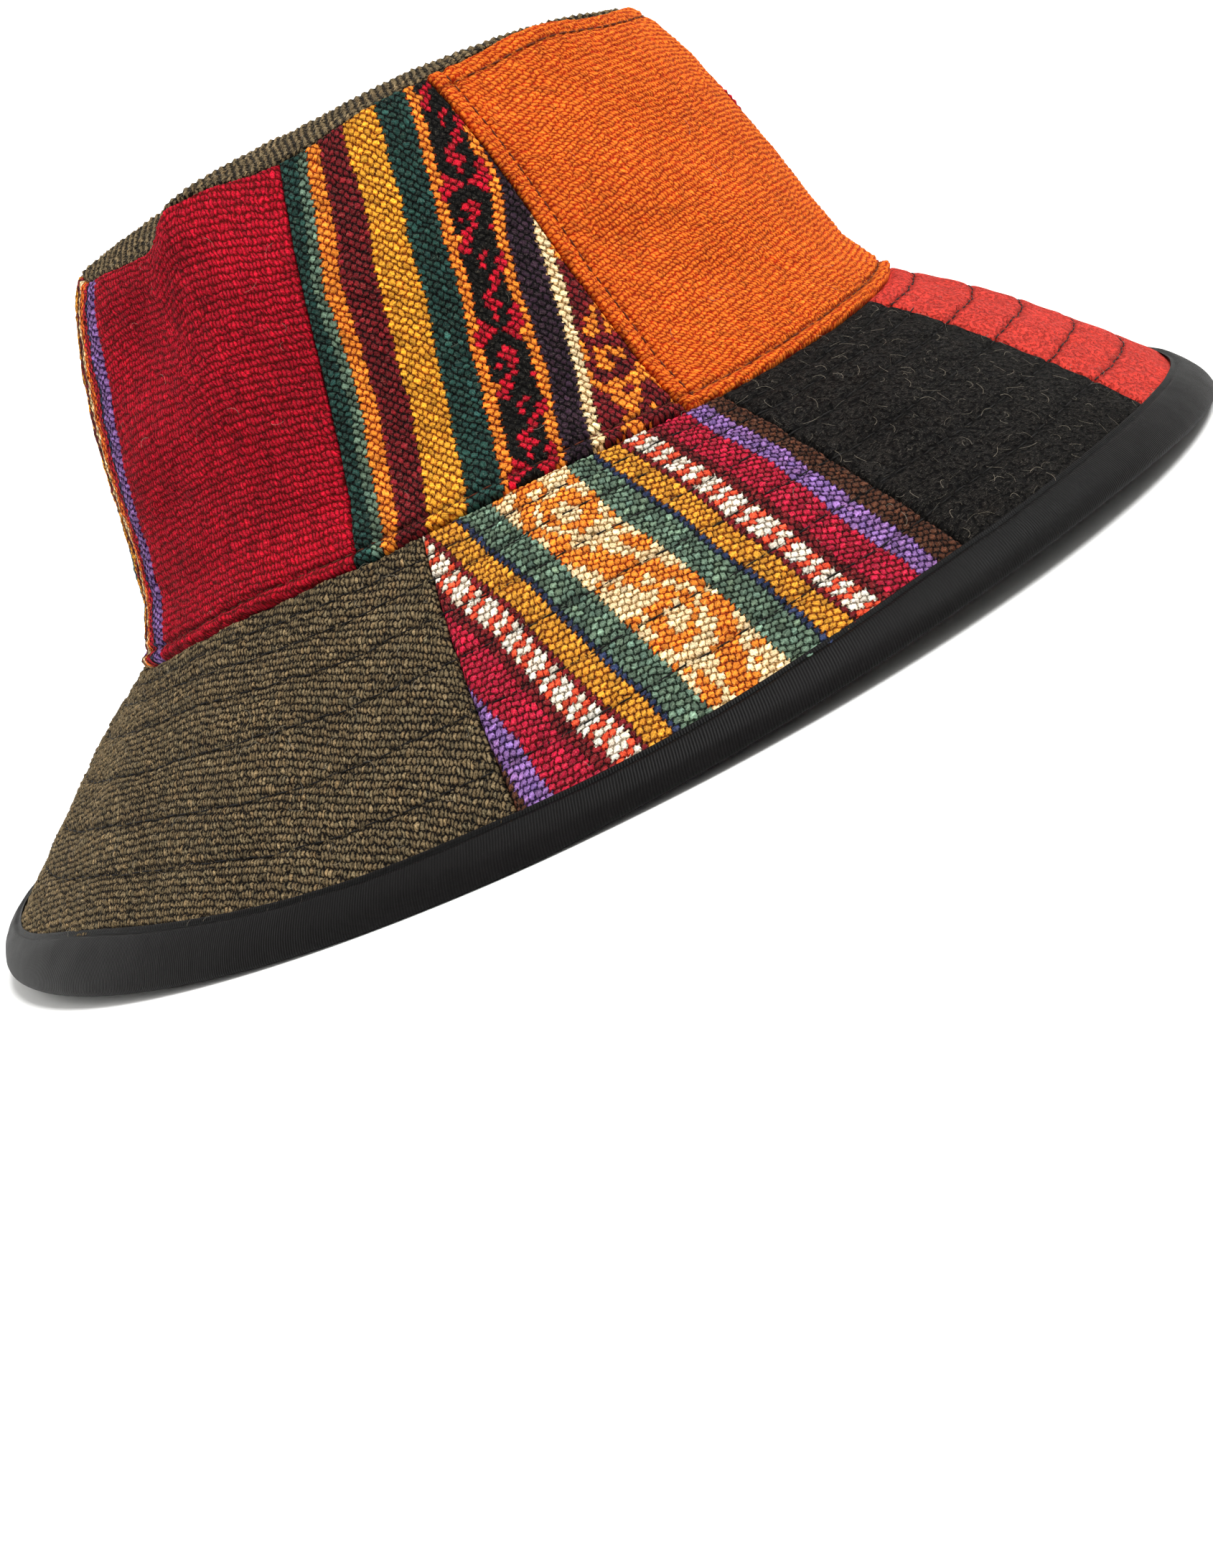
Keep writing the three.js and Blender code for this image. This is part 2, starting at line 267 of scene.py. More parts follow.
def hat_normal(angle, track):
    """The outward direction; at the top edge and at the seam it is midway between the two walls."""
    track_step = 0.012
    above = hat_point(angle, np.maximum(track - track_step, 0))
    along = hat_point(angle, np.minimum(track + track_step, RIM_TRACK)) - above
    around = hat_point(angle + 1, track) - hat_point(angle - 1, track)
    normal = np.cross(around, along)
    normal = normal / np.maximum(np.linalg.norm(normal, axis=-1, keepdims=True), 1e-9)
    return np.where((track < track_step)[..., None], (0.0, 0.0, 1.0), normal)


def cloth_point(angle, track, outward):
    """A point that stands outward from the hat's surface; a negative number is under it."""
    return hat_point(angle, track) + hat_normal(angle, track) * np.asarray(outward)[..., None]


class Ripple:
    """Smooth waves of about -1 to 1 over a flat cloth, from a fixed seed, all of about one length."""

    WAVES = 9

    def __init__(self, seed, wavelength):
        chance = np.random.default_rng(seed)
        heading = chance.uniform(0, 2 * np.pi, self.WAVES)
        number = 2 * np.pi / (wavelength * chance.uniform(0.7, 1.6, self.WAVES))
        self.across = number * np.cos(heading)
        self.down = number * np.sin(heading)
        self.phase = chance.uniform(0, 2 * np.pi, self.WAVES)

    def __call__(self, across, down):
        total = 0
        for wave in range(self.WAVES):
            total = total + np.sin(across * self.across[wave] + down * self.down[wave] + self.phase[wave])
        return total / math.sqrt(self.WAVES)


SOFTNESS = Ripple(seed=11, wavelength=34)
PUCKER = Ripple(seed=12, wavelength=9)
WANDER_ACROSS = Ripple(seed=13, wavelength=26)
WANDER_DOWN = Ripple(seed=14, wavelength=30)
JITTER_ACROSS = Ripple(seed=15, wavelength=3.4)
JITTER_DOWN = Ripple(seed=16, wavelength=3.8)


def quilt_row_out(angle, row):
    """How far out on the brim a quilting row runs, as a share of the slope."""
    turn = np.radians(angle)
    wander = np.sin(3 * turn + 1.7 * row) + 0.6 * np.sin(8 * turn + 2.3 * row) + 0.4 * np.sin(19 * turn + row)
    wander = wander + 0.35 * np.sin(53 * turn + 2.9 * row) + 0.25 * np.sin(91 * turn + 0.7 * row)
    drift = read_edge(QUILT_DRIFT, angle) * (0.3 + QUILT_ROWS[row])
    return QUILT_ROWS[row] + drift + QUILT_WANDER * wander


def quilt_distance(angle, out):
    """Distance from the nearest row of quilting, in mm."""
    nearest = FAR + 0 * out
    turn = np.mod(angle, 360)
    for row in range(len(QUILT_ROWS)):
        distance = np.abs(out - quilt_row_out(angle, row)) * TRACK_LENGTH["brim"]
        if row == SHORT_ROW:
            distance = np.where((turn > SHORT_ROW_START) & (turn < SHORT_ROW_END), distance, FAR)
        nearest = np.minimum(nearest, distance)
    return nearest


def quilting(angle, out):
    """Puffs between the quilting rows and the narrow valleys that the stitches pull in, in mm."""
    distance = quilt_distance(angle, out)
    puff = np.clip(distance / QUILT_PUFF_REACH, 0, 1)
    valley = np.exp(-((distance / QUILT_VALLEY_WIDTH) ** 2))
    return QUILT_PUFF * np.sqrt(1 - (1 - puff) ** 2) - QUILT_VALLEY * valley


def groove_shade(ring, angle, track):
    """Painted shade of stitch grooves and the drawn thread: 1 on a line, 0 a millimetre or so beside it."""
    if ring == "tip":
        return 0 * angle
    if ring == "brim":
        return np.exp(-((quilt_distance(angle, track - SEAM_TRACK) / GROOVE_SHADE_REACH) ** 2))
    from_seam = (SEAM_TRACK - track) * TRACK_LENGTH[ring] - SEAM_STITCH_INSET
    from_top = (track - TOP_EDGE_TRACK) * TRACK_LENGTH[ring] - TOP_STITCH_INSET
    distance = np.minimum(np.abs(from_seam), np.abs(from_top) * 1.5 + 9 * (1 - top_stitched(angle)))
    return np.maximum(np.exp(-((distance / GROOVE_SHADE_REACH) ** 2)), 0.6 * pulled_thread(angle, track))


def pulled_thread(angle, track):
    """1 on the drawn thread, falling to 0 beside it."""
    tracks, places = zip(*PULLED_THREAD)
    beside = (np.mod(angle, 360) - np.interp(track, tracks, places)) * PULLED_MM_PER_DEGREE
    within = (track > tracks[0]) & (track < tracks[-1])
    return np.where(within, np.exp(-((beside / PULLED_WIDTH) ** 2)), 0.0)


def stitch_groove(distance):
    """The groove that a line of topstitching pulls into the cloth, in mm."""
    return -GROOVE_DEPTH * np.exp(-((distance / GROOVE_WIDTH) ** 2))


def hem_puff(distance, inset):
    """How far the folded allowances push out between an edge and its topstitching, in mm."""
    return HEM_HEIGHT * np.clip(1 - (2 * distance / inset - 1) ** 2, 0, 1) ** HEM_ROUNDNESS


def top_stitched(angle):
    """1 where the top edge is topstitched, 0 elsewhere."""
    turn = np.mod(angle, 360)
    return np.where((turn > TOP_STITCHED[0]) & (turn < TOP_STITCHED[1]), 1.0, 0.0)


def soft_relief(ring, angle, track):
    """How far the cloth stands off the hat's smooth surface, without its weave, in mm."""
    around = np.radians(angle) * MEAN_RADIUS[ring]
    down = track * TRACK_LENGTH[ring]
    relief = 0.35 * SOFTNESS(around, down) + 0.1 * PUCKER(around, down)
    if ring == "brim":
        return relief + quilting(angle, track - SEAM_TRACK)
    if ring == "crown":
        above_seam = (SEAM_TRACK - track) * TRACK_LENGTH[ring]
        below_top = (track - TOP_EDGE_TRACK) * TRACK_LENGTH[ring]
        relief = relief + stitch_groove(above_seam - SEAM_STITCH_INSET)
        relief = relief + hem_puff(above_seam, SEAM_STITCH_INSET)
        top_hem = stitch_groove(below_top - TOP_STITCH_INSET) + 0.4 * hem_puff(below_top, TOP_STITCH_INSET)
        relief = relief + 0.5 * top_stitched(angle) * top_hem - 0.25 * pulled_thread(angle, track)
        near_seam = np.exp(-((above_seam / 7) ** 2))
        return relief + 0.25 * near_seam * PUCKER(2.2 * around, 0.3 * down)
    return relief


class FlatCloth:
    """A ring of the hat unrolled about a cone: across runs round the hat and down runs to the rim, in mm.

    Its down axis lies along a border of the cloth, given by the border's angle at each end of the ring.
    """

    ROWS = 33
    MARKS = 1200
    REACH_DEGREES = 110
    # Steps of half a degree on both sides of the middle, between which the cone's opening is measured
    NEAR = 80

    def __init__(self, ring, border):
        self.first, self.last = RING_ENDS[ring]
        self.tracks = np.linspace(self.first, self.last, self.ROWS)
        self.turns = sum(border) / 2 + np.arange(-self.REACH_DEGREES, self.REACH_DEGREES + 0.25, 0.5)
        points = hat_point(self.turns[None, :], self.tracks[:, None], dented=False)
        arcs = np.cumsum(np.linalg.norm(np.diff(points, axis=1), axis=-1), axis=1)
        arcs = np.concatenate([np.zeros((self.ROWS, 1)), arcs], axis=1)
        middle = len(self.turns) // 2
        self.arcs = arcs - arcs[:, middle : middle + 1]
        steps = np.linalg.norm(np.diff(points[:, middle], axis=0), axis=-1)
        depth = np.concatenate([[0], np.cumsum(steps)])
        spread = self.arcs[:, middle + self.NEAR] - self.arcs[:, middle - self.NEAR]
        self.radii = depth + spread[0] * depth[-1] / (spread[-1] - spread[0])
        self.marks = np.linspace(self.arcs.min(), self.arcs.max(), self.MARKS)
        self.turn_at = np.array([np.interp(self.marks, row, self.turns) for row in self.arcs])
        self.axes = np.eye(2)
        self.origin = np.zeros(2)
        top = self.place(np.array(float(border[0])), np.array(self.first))
        bottom = self.place(np.array(float(border[1])), np.array(self.last))
        down = (bottom - top) / np.linalg.norm(bottom - top)
        self.axes = np.array([[down[1], -down[0]], down])
        self.origin = top

    def place(self, angle, track):
        """The flat place of a point of the hat."""
        row = (track - self.first) / (self.last - self.first) * (self.ROWS - 1)
        row = np.clip(row, 0, self.ROWS - LAST_CELL)
        low = row.astype(int)
        turn_step = self.turns[1] - self.turns[0]
        column = np.clip((angle - self.turns[0]) / turn_step, 0, len(self.turns) - LAST_CELL)
        left = column.astype(int)
        arc = bilinear(self.arcs, low, left, row - low, column - left)
        radius = np.interp(track, self.tracks, self.radii)
        polar = np.stack([radius * np.sin(arc / radius), radius * np.cos(arc / radius)], axis=-1)
        return (polar - self.origin) @ self.axes.T

    def on_hat(self, flat):
        """Angle and track of a flat place; a place beyond an end of the ring is brought to that end."""
        polar = self.origin + flat @ self.axes
        radius = np.hypot(polar[..., 0], polar[..., 1])
        arc = np.arctan2(polar[..., 0], polar[..., 1]) * radius
        row = np.clip(np.interp(radius, self.radii, np.arange(self.ROWS)), 0, self.ROWS - LAST_CELL)
        low = row.astype(int)
        step = self.marks[1] - self.marks[0]
        column = np.clip((arc - self.marks[0]) / step, 0, len(self.marks) - LAST_CELL)
        left = column.astype(int)
        angle = bilinear(self.turn_at, low, left, row - low, column - left)
        return angle, np.interp(radius, self.radii, self.tracks), radius


def bilinear(table, row, column, down, across):
    top = table[row, column] * (1 - across) + table[row, column + 1] * across
    bottom = table[row + 1, column] * (1 - across) + table[row + 1, column + 1] * across
    return top * (1 - down) + bottom * down


def lerp(low, high, share):
    return low + (high - low) * share


# A mesh point this near to a cut, in mm, is brought to it
SNAP = 0.14
# How far yarns stray from straight lines, over a long stretch and from pebble to pebble
WANDER = 0.5
JITTER = 0.2


class PanelOutline:
    """A panel's cut on its ring: two borders that are straight on the cloth, and the ring's two ends.

    A border's angles are those of its ends at the ring's top and bottom.
    """

    def __init__(self, ring, start, end, grain):
        self.ring = ring
        self.first, self.last = RING_ENDS[ring]
        self.start = start
        self.end = end
        self.flat = FlatCloth(ring, grain)
        middle = lerp((start[0] + start[1]) / 2, (end[0] + end[1]) / 2, 0.5)
        beside = hat_point(middle + np.array([-0.5, 0.5]), self.flat.tracks[:, None], dented=False)
        self.mm_per_degree = np.linalg.norm(np.diff(beside, axis=1)[:, 0], axis=-1)

    def along(self, track):
        return (track - self.first) / (self.last - self.first)

    def border(self, ends, track):
        return lerp(ends[0], ends[1], self.along(track))

    def degree_size(self, track):
        return np.interp(track, self.flat.tracks, self.mm_per_degree)

    def edge_distances(self, angle, track):
        """Distances in mm from the start border, the end border, the top and the bottom."""
        size = self.degree_size(track)
        length = TRACK_LENGTH[self.ring]
        return (
            (angle - self.border(self.start, track)) * size,
            (self.border(self.end, track) - angle) * size,
            (track - self.first) * length,
            (self.last - track) * length,
        )

    def outline(self):
        """Flat places round the cut, in order."""
        share = np.linspace(0, 1, 30)
        tracks = lerp(self.first, self.last, share)
        top = self.flat.place(lerp(self.start[0], self.end[0], share), self.first + 0 * share)
        end = self.flat.place(self.border(self.end, tracks), tracks)
        bottom = self.flat.place(lerp(self.end[1], self.start[1], share), self.last + 0 * share)
        start = self.flat.place(self.border(self.start, tracks[::-1]), tracks[::-1])
        return np.concatenate([top[:-1], end[:-1], bottom[:-1], start[:-1]])

    def holds(self, flat):
        angle, track, radius = self.flat.on_hat(flat)
        start, end, top, bottom = self.edge_distances(angle, track)
        within = (radius > self.flat.radii[0]) & (radius < self.flat.radii[-1])
        return within & (np.minimum(np.minimum(start, end), np.minimum(top, bottom)) > SNAP)

    def pull_in(self, flat):
        """Brings places outside the cut to its nearest border; gives angle, track and the new flat place."""
        angle, track, _ = self.flat.on_hat(flat)
        length = TRACK_LENGTH[self.ring]
        for ends, side in ((self.start, 1), (self.end, -1)):
            inward = side * (angle - self.border(ends, track)) * self.degree_size(track)
            beyond = inward <= SNAP
            foot = self.flat.place(self.border(ends, track), track)
            above = np.clip(track, self.first, self.last - 0.01)
            tangent = self.flat.place(self.border(ends, above + 0.01), above + 0.01)
            tangent = tangent - self.flat.place(self.border(ends, above), above)
            tangent /= np.linalg.norm(tangent, axis=-1, keepdims=True)
            here = self.flat.place(angle, track)
            foot = foot + tangent * np.sum((here - foot) * tangent, axis=-1, keepdims=True)
            _, foot_track, _ = self.flat.on_hat(foot)
            track = np.where(beyond, foot_track, track)
            angle = np.where(beyond, self.border(ends, track), angle)
        track = np.where((track - self.first) * length <= SNAP, self.first, track)
        track = np.where((self.last - track) * length <= SNAP, self.last, track)
        return angle, track, self.flat.place(angle, track)

    def round_place(self, angle, track):
        """How far round the cut a point of its edge lies: 0 to 1 on top, then end, bottom and start."""
        first = self.border(self.start, track)
        share = (angle - first) / (self.border(self.end, track) - first)
        along = self.along(track)
        start, end, top, bottom = self.edge_distances(angle, track)
        nearest = np.argmin(np.stack([top, end, bottom, start]), axis=0)
        places = np.stack([share, 1 + along, 3 - share, 4 - along])
        return np.take_along_axis(places, nearest[None], axis=0)[0]


class TipOutline:
    """The tip's cut: an oval, laid flat as it is seen from above."""

    def __init__(self):
        self.ring = "tip"
        self.first, self.last = RING_ENDS["tip"]
        turns = np.arange(0, 360, 0.5)
        edge = hat_point(turns, 1.0)[:, :2]
        self.crest = np.array([0, TIP_CREST_BACK - CROWN_FORWARD])
        bearing = np.unwrap(np.arctan2(*(edge - self.crest).T))
        self.edge = edge
        order = np.argsort(bearing)
        self.bearings = bearing[order]
        self.turns = turns[order]
        self.reaches = np.hypot(*(edge - self.crest).T)[order]

    def outline(self):
        return self.edge[::-6]

    def on_tip(self, flat):
        away = flat - self.crest
        bearing = np.arctan2(away[..., 0], away[..., 1])
        wrapped = self.bearings[0] + np.mod(bearing - self.bearings[0], 2 * np.pi)
        bearings = np.append(self.bearings, self.bearings[0] + 2 * np.pi)
        turned = np.append(self.turns, self.turns[0] + 360)
        angle = np.interp(wrapped, bearings, turned)
        reach = np.interp(wrapped, bearings, np.append(self.reaches, self.reaches[0]))
        return angle, np.hypot(away[..., 0], away[..., 1]) / reach

    def edge_distances(self, angle, track):
        far = FAR + 0 * angle
        return far, far, far, (self.last - track) * TRACK_LENGTH["tip"]

    def holds(self, flat):
        _, track = self.on_tip(flat)
        return (1 - track) * TRACK_LENGTH["tip"] > SNAP

    def pull_in(self, flat):
        angle, track = self.on_tip(flat)
        track = np.where((1 - track) * TRACK_LENGTH["tip"] <= SNAP, 1.0, track)
        return angle, track, hat_point(angle, track)[..., :2]

    def round_place(self, angle, track):
        return np.mod(-angle, 360) / 90


@dataclass
class Sheet:
    """One face of a cloth: points, flat places, quads and the painted shade of stitch grooves at each point.
    """

    points: np.ndarray
    flat: np.ndarray
    quads: np.ndarray
    stitch_shade: np.ndarray
    places: np.ndarray
    cells: np.ndarray = field(default_factory=lambda: np.zeros((0, 2), dtype=int))


@dataclass(frozen=True)
class Weave:
    """A cloth's structure: pebble size across and down, mesh steps in a pebble, height, and how it is laid.

    Staggered pebbles have every other column moved down by half a pebble; lean is how far a pebble's end is
    beside its start, as a share of its width; side_gap and end_gap are how deep the gaps are at its sides and
    its ends.
    """

    pitch: tuple
    steps: tuple
    height: float
    staggered: bool
    lean: float
    side_gap: float
    end_gap: float
    slot: str
    material: str
    edge_drop: float = 1.1
    edge_radius: float = 1.5


# How far the middle of a pebble reaches into its neighbours, as a share of its width
SCALLOP = 0.3
# Puts a point on a line between two pebbles into the later one
NUDGE = 1e-6


def chance_of(column, row):
    """A number from 0 to 1 for each pebble, always the same one."""
    mixed = np.sin(column * 12.9898 + row * 78.233) * 43758.5453
    return mixed - np.floor(mixed)


def pebble(weave, flat):
    """Column, row and plumpness (0 in the gaps, 1 on top) of the pebble at each flat place."""
    counted = flat / weave.pitch
    stagger = 0.5 if weave.staggered else 0
    down = counted[..., 1] + stagger * np.mod(np.floor(counted[..., 0] + NUDGE), 2)
    across = counted[..., 0] + weave.lean * (np.mod(down + NUDGE, 1) - 0.5)
    if weave.staggered:
        across = across - SCALLOP * np.cos(2 * np.pi * counted[..., 1]) * np.cos(np.pi * across)
    column = np.floor(across + NUDGE)
    down = counted[..., 1] + stagger * np.mod(column, 2)
    row = np.floor(down + NUDGE)
    along = 2 * (down - row) - 1
    beside = 2 * (across - column) - 1
    plump = np.clip(1 - weave.side_gap * beside**2 - weave.end_gap * along**2, 0, 1)
    plump *= 0.75 + 0.5 * chance_of(column, row)
    return column.astype(int), row.astype(int), plump


def edge_roll(distance, drop, radius):
    """How far a turned edge has rolled down at a distance from it."""
    share = np.clip(1 - distance / radius, 0, 1)
    return -drop * (1 - np.sqrt(np.maximum(0, 1 - share**2)))


def wobbled(panel, woven):
    """Flat place of a point of the weave: the yarns wander a little and the cloth may be eased."""
    place = (woven[..., 0], woven[..., 1])
    across = panel.eased(*place) + WANDER * WANDER_ACROSS(*place) + JITTER * JITTER_ACROSS(*place)
    down = place[1] + WANDER * WANDER_DOWN(*place) + JITTER * JITTER_DOWN(*place)
    return np.stack([across, down], axis=-1)


def cell_corners(table):
    """The four corners of each cell of a grid, in order round the cell."""
    return table[:-1, :-1], table[1:, :-1], table[1:, 1:], table[:-1, 1:]


def cut_grid(outline, step, to_flat, margin=6.0):
    """A grid over a cut: only the cells that touch it, with the points outside brought to its border.

    Gives the grid places, the flat places, the quads, the angles and the tracks.
    """
    cut = outline.outline()
    low = np.floor((cut.min(axis=0) - margin) / step)
    high = np.ceil((cut.max(axis=0) + margin) / step)
    columns = np.arange(low[0], high[0] + 1) * step[0]
    rows = np.arange(low[1], high[1] + 1) * step[1]
    grid = np.stack(np.meshgrid(columns, rows, indexing="ij"), axis=-1)
    flat = to_flat(grid)
    inside = outline.holds(flat)
    kept = np.logical_or.reduce(cell_corners(inside))
    number = np.arange(inside.size).reshape(inside.shape)
    quads = np.stack([corner[kept] for corner in cell_corners(number)], axis=-1)
    used, quads = np.unique(quads, return_inverse=True)
    grid = grid.reshape(-1, 2)[used]
    flat = flat.reshape(-1, 2)[used]
    angle, track, pulled = outline.pull_in(flat)
    loose = ~inside.reshape(-1)[used]
    grid = np.where(loose[:, None], grid + pulled - flat, grid)
    return grid, pulled, quads.reshape(-1, 4), angle, track


def woven_face(panel):
    """The outer face of a panel, with its mesh lines on the lines of its weave."""
    outline = panel.outline
    weave = panel.weave
    step = np.array(weave.pitch) / np.array(weave.steps)
    woven, _, quads, angle, track = cut_grid(outline, step, lambda grid: wobbled(panel, grid))
    _, _, plump = pebble(weave, woven)
    column, row, _ = pebble(weave, woven[quads].mean(axis=1))
    start, end, top, bottom = outline.edge_distances(angle, track)
    nearest = np.minimum(np.minimum(start, end), np.minimum(top, bottom))
    relief = soft_relief(outline.ring, angle, track) + panel.stand(start, end, top, bottom)
    relief = relief + edge_roll(nearest, weave.edge_drop, weave.edge_radius)
    calm = smooth_step(nearest, 0.0, 0.6)
    fuzz = np.random.default_rng(panel.seed).uniform(0.75, 1.2, len(plump))
    relief = relief + weave.height * (plump * calm * fuzz - 0.6)
    cells = np.stack([column, row], axis=-1)
    # How much painted shade the grooves of the stitches put on each point
    stitch_shade = groove_shade(outline.ring, angle, track)
    points = cloth_point(angle, track, relief)
    return Sheet(points, woven, quads, stitch_shade, outline.round_place(angle, track), cells)


LINING_CELL = 4.0


def lining_face(outline):
    """The plain inner face of a panel, a wall's thickness under the hat's surface; its quads face inwards."""
    _, flat, quads, angle, track = cut_grid(outline, np.full(2, LINING_CELL), lambda grid: grid)
    points = cloth_point(angle, track, -WALL)
    return Sheet(points, flat, quads[:, ::-1], 0 * angle, outline.round_place(angle, track))


def border_loop(quads):
    """The border of a sheet as one loop of points, in the direction of its faces."""
    starts = quads.ravel()
    ends = np.roll(quads, -1, axis=1).ravel()
    size = int(quads.max()) + 1
    edge = ~np.isin(starts * size + ends, ends * size + starts)
    following = dict(zip(starts[edge].tolist(), ends[edge].tolist()))
    first = next(iter(following))
    loop = [first]
    while following[loop[-1]] != first:
        loop.append(following[loop[-1]])
    return loop, len(loop) == len(following)


def from_lowest(loop, places):
    """A loop and its places, started at the lowest place and closed with its first point."""
    places = places[loop]
    start = int(np.argmin(places))
    loop = np.roll(loop, -start)
    places = np.maximum.accumulate(np.roll(places, -start))
    return np.append(loop, loop[0]), np.append(places, places[0] + 4)


def wall_between(outer_loop, outer_places, inner_loop, inner_places):
    """Triangles that join two loops, with the place and side (0 outer, 1 inner) of each corner."""
    triangles = []
    corners = []
    k = m = 0
    while k < len(outer_loop) - 1 or m < len(inner_loop) - 1:
        outer_next = outer_places[k + 1] if k < len(outer_loop) - 1 else math.inf
        inner_next = inner_places[m + 1] if m < len(inner_loop) - 1 else math.inf
        here = (outer_places[k], 0)
        under = (inner_places[m], 1)
        if outer_next <= inner_next:
            triangles.append((outer_loop[k + 1], outer_loop[k], inner_loop[m]))
            corners.append(((outer_next, 0), here, under))
            k += 1
        else:
            triangles.append((inner_loop[m], inner_loop[m + 1], outer_loop[k]))
            corners.append((under, (inner_next, 1), here))
            m += 1
    return np.array(triangles), np.array(corners)


# Corners of the parts of the bake map that take a cloth's outer face, its inner face and the tape
OUTER_BAKE_BOX = ((0.01, 0.01), (0.99, 0.79))
INNER_BAKE_BOX = ((0.01, 0.83), (0.99, 0.955))
TAPE_BAKE_BOX = ((0.005, 0.005), (0.995, 0.995))


def into_box(flat, low, high):
    """Flat places spread over a box of the map."""
    least = flat.min(axis=0)
    size = flat.max(axis=0) - least
    return np.array(low) + (flat - least) / size * (np.array(high) - np.array(low))


def shell_mesh(name, outer, inner, colours, material):
    """A closed cloth: its woven outer face, its inner face and the wall round its edge."""
    outer_loop, outer_whole = border_loop(outer.quads)
    inner_quads = inner.quads + len(outer.points)
    inner_loop, inner_whole = border_loop(inner_quads[:, ::-1])
    if not (outer_whole and inner_whole):
        raise RuntimeError(name + ": the edge of the cloth is not one loop")
    places = np.concatenate([outer.places, inner.places])
    wall, wall_corners = wall_between(*from_lowest(outer_loop, places), *from_lowest(inner_loop, places))
    points = np.concatenate([outer.points, inner.points]) * MM
    faces = outer.quads.tolist() + inner_quads.tolist() + wall.tolist()
    mesh = bpy.data.meshes.new(name)
    mesh.from_pydata(points, [], faces)
    corner_points = np.concatenate([outer.quads.ravel(), inner_quads.ravel(), wall.ravel()])
    flat = np.concatenate([outer.flat, inner.flat])
    cloth_map = mesh.uv_layers.new(name="cloth")
    cloth_map.data.foreach_set("uv", flat[corner_points].ravel())
    spread = np.concatenate([
        into_box(outer.flat, *OUTER_BAKE_BOX)[outer.quads.ravel()],
        into_box(inner.flat, *INNER_BAKE_BOX)[inner.quads.ravel()],
        wall_corners.reshape(-1, 2) * (0.98 / 8, 0.012) + (0.01, 0.975),
    ])
    bake_map = mesh.uv_layers.new(name="OFBake")
    bake_map.data.foreach_set("uv", spread.ravel())
    mesh.uv_layers.active = cloth_map
    # Painted shade along the grooves of the stitches, which the materials darken the cloth by
    stitch_shade = mesh.attributes.new("stitch_shade", "FLOAT", "POINT")
    stitch_shade.data.foreach_set("value", np.concatenate([outer.stitch_shade, inner.stitch_shade]))
    tint = np.ones((len(faces), 4))
    tint[: len(colours), :3] = colours
    tint[len(colours) :, :3] = np.median(colours, axis=0)
    yarn = mesh.attributes.new("yarn", "FLOAT_COLOR", "FACE")
    yarn.data.foreach_set("color", tint.ravel())
    return finished(name, mesh, material)


def finished(name, mesh, material):
    """An object for a mesh, smooth all over and with its one material."""
    mesh.polygons.foreach_set("use_smooth", np.ones(len(mesh.polygons), dtype=bool))
    mesh.materials.clear()
    mesh.materials.append(material)
    mesh.validate()
    mesh.update()
    piece = bpy.data.objects.new(name, mesh)
    bpy.context.scene.collection.objects.link(piece)
    return piece


def declare_cloth(piece, node):
    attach(piece, BODY)
    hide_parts(node)


def linear_colour(code):
    """Scene-linear colour of a hex colour."""
    parts = [int(code[i : i + 2], 16) / 255 for i in (0, 2, 4)]
    return tuple(part / 12.92 if part <= 0.04045 else ((part + 0.055) / 1.055) ** 2.4 for part in parts)


# Yarns by the letter that the charts use: property name, label, colour, how far pebbles differ in brightness,
# share of pebbles that are flecks, and how much lighter a fleck is
YARNS = {
    "r": ("crimson", "Crimson", "B20A24", 0.1, 0.0, 1.0),
    "o": ("orange", "Orange", "E87220", 0.07, 0.0, 1.0),
    "l": ("olive", "Olive", "6C5C42", 0.2, 0.12, 1.3),
    "b": ("black", "Black", "0D0C0B", 0.2, 0.05, 1.6),
    "a": ("coral", "Coral", "CE3A30", 0.08, 0.0, 1.0),
    "m": ("mustard", "Mustard", "DC9628", 0.14, 0.05, 1.2),
    "y": ("ochre", "Ochre", "CE8C2A", 0.14, 0.05, 1.2),
    "t": ("teal", "Dark teal", "1D3A34", 0.25, 0.1, 1.6),
    "g": ("green", "Green", "586C5B", 0.25, 0.12, 1.5),
    "n": ("maroon", "Maroon", "6A141A", 0.2, 0.05, 1.6),
    "d": ("navy", "Navy", "232C47", 0.22, 0.06, 1.5),
    "c": ("cherry", "Cherry", "A81632", 0.14, 0.05, 1.3),
    "p": ("purple", "Purple", "84609A", 0.14, 0.05, 1.3),
    "w": ("brown", "Brown", "4A2A1C", 0.2, 0.05, 1.4),
    "u": ("aubergine", "Aubergine", "2A1A26", 0.24, 0.06, 1.7),
    "e": ("cream", "Cream", "F2D3A2", 0.1, 0.05, 1.1),
    "s": ("scroll", "Scroll orange", "E68428", 0.12, 0.05, 1.15),
    "v": ("vermilion", "Vermilion", "D5482B", 0.12, 0.05, 1.2),
    "h": ("white", "White", "F1E4D2", 0.08, 0.0, 1.0),
}

HOOK_CHART = (
    "srrrrbrrrss",
    "srrbbbbbrss",
    "ssbbbrbbbss",
    "ssbbrrrbbss",
    "ssbrbrrbbss",
    "ssbbbrbbbss",
    "ssbrrbbbrss",
    "sssrrbbbbss",
    "ssrrbbbbbss",
    "ssbbbrrbbrs",
    "ssbbbrbbrrs",
    "ssbbbbbrrss",
    "ssbbbbrrbss",
    "ssbbbrrbbss",
    "ssbbrrbbbss",
    "ssbbrrrbbrs",
    "ssbbbrbbrrs",
    "ssrrbbbrrrs",
)
EYE_CHART = (
    "nnnsssssss",
    "nnnsnsssss",
    "nnssnsssss",
    "nsssnsssss",
    "nnsnnnnnss",
    "snnnnnnnns",
    "snsssssnns",
    "snssnnsnns",
    "nnsssnnnss",
    "snnnnnnsss",
    "ssnssssssn",
    "nnsssnnsnn",
    "nnnsssssnn",
    "nnnnsssnns",
    "nnnnnssnnn",
    "nnnnssnnnn",
)
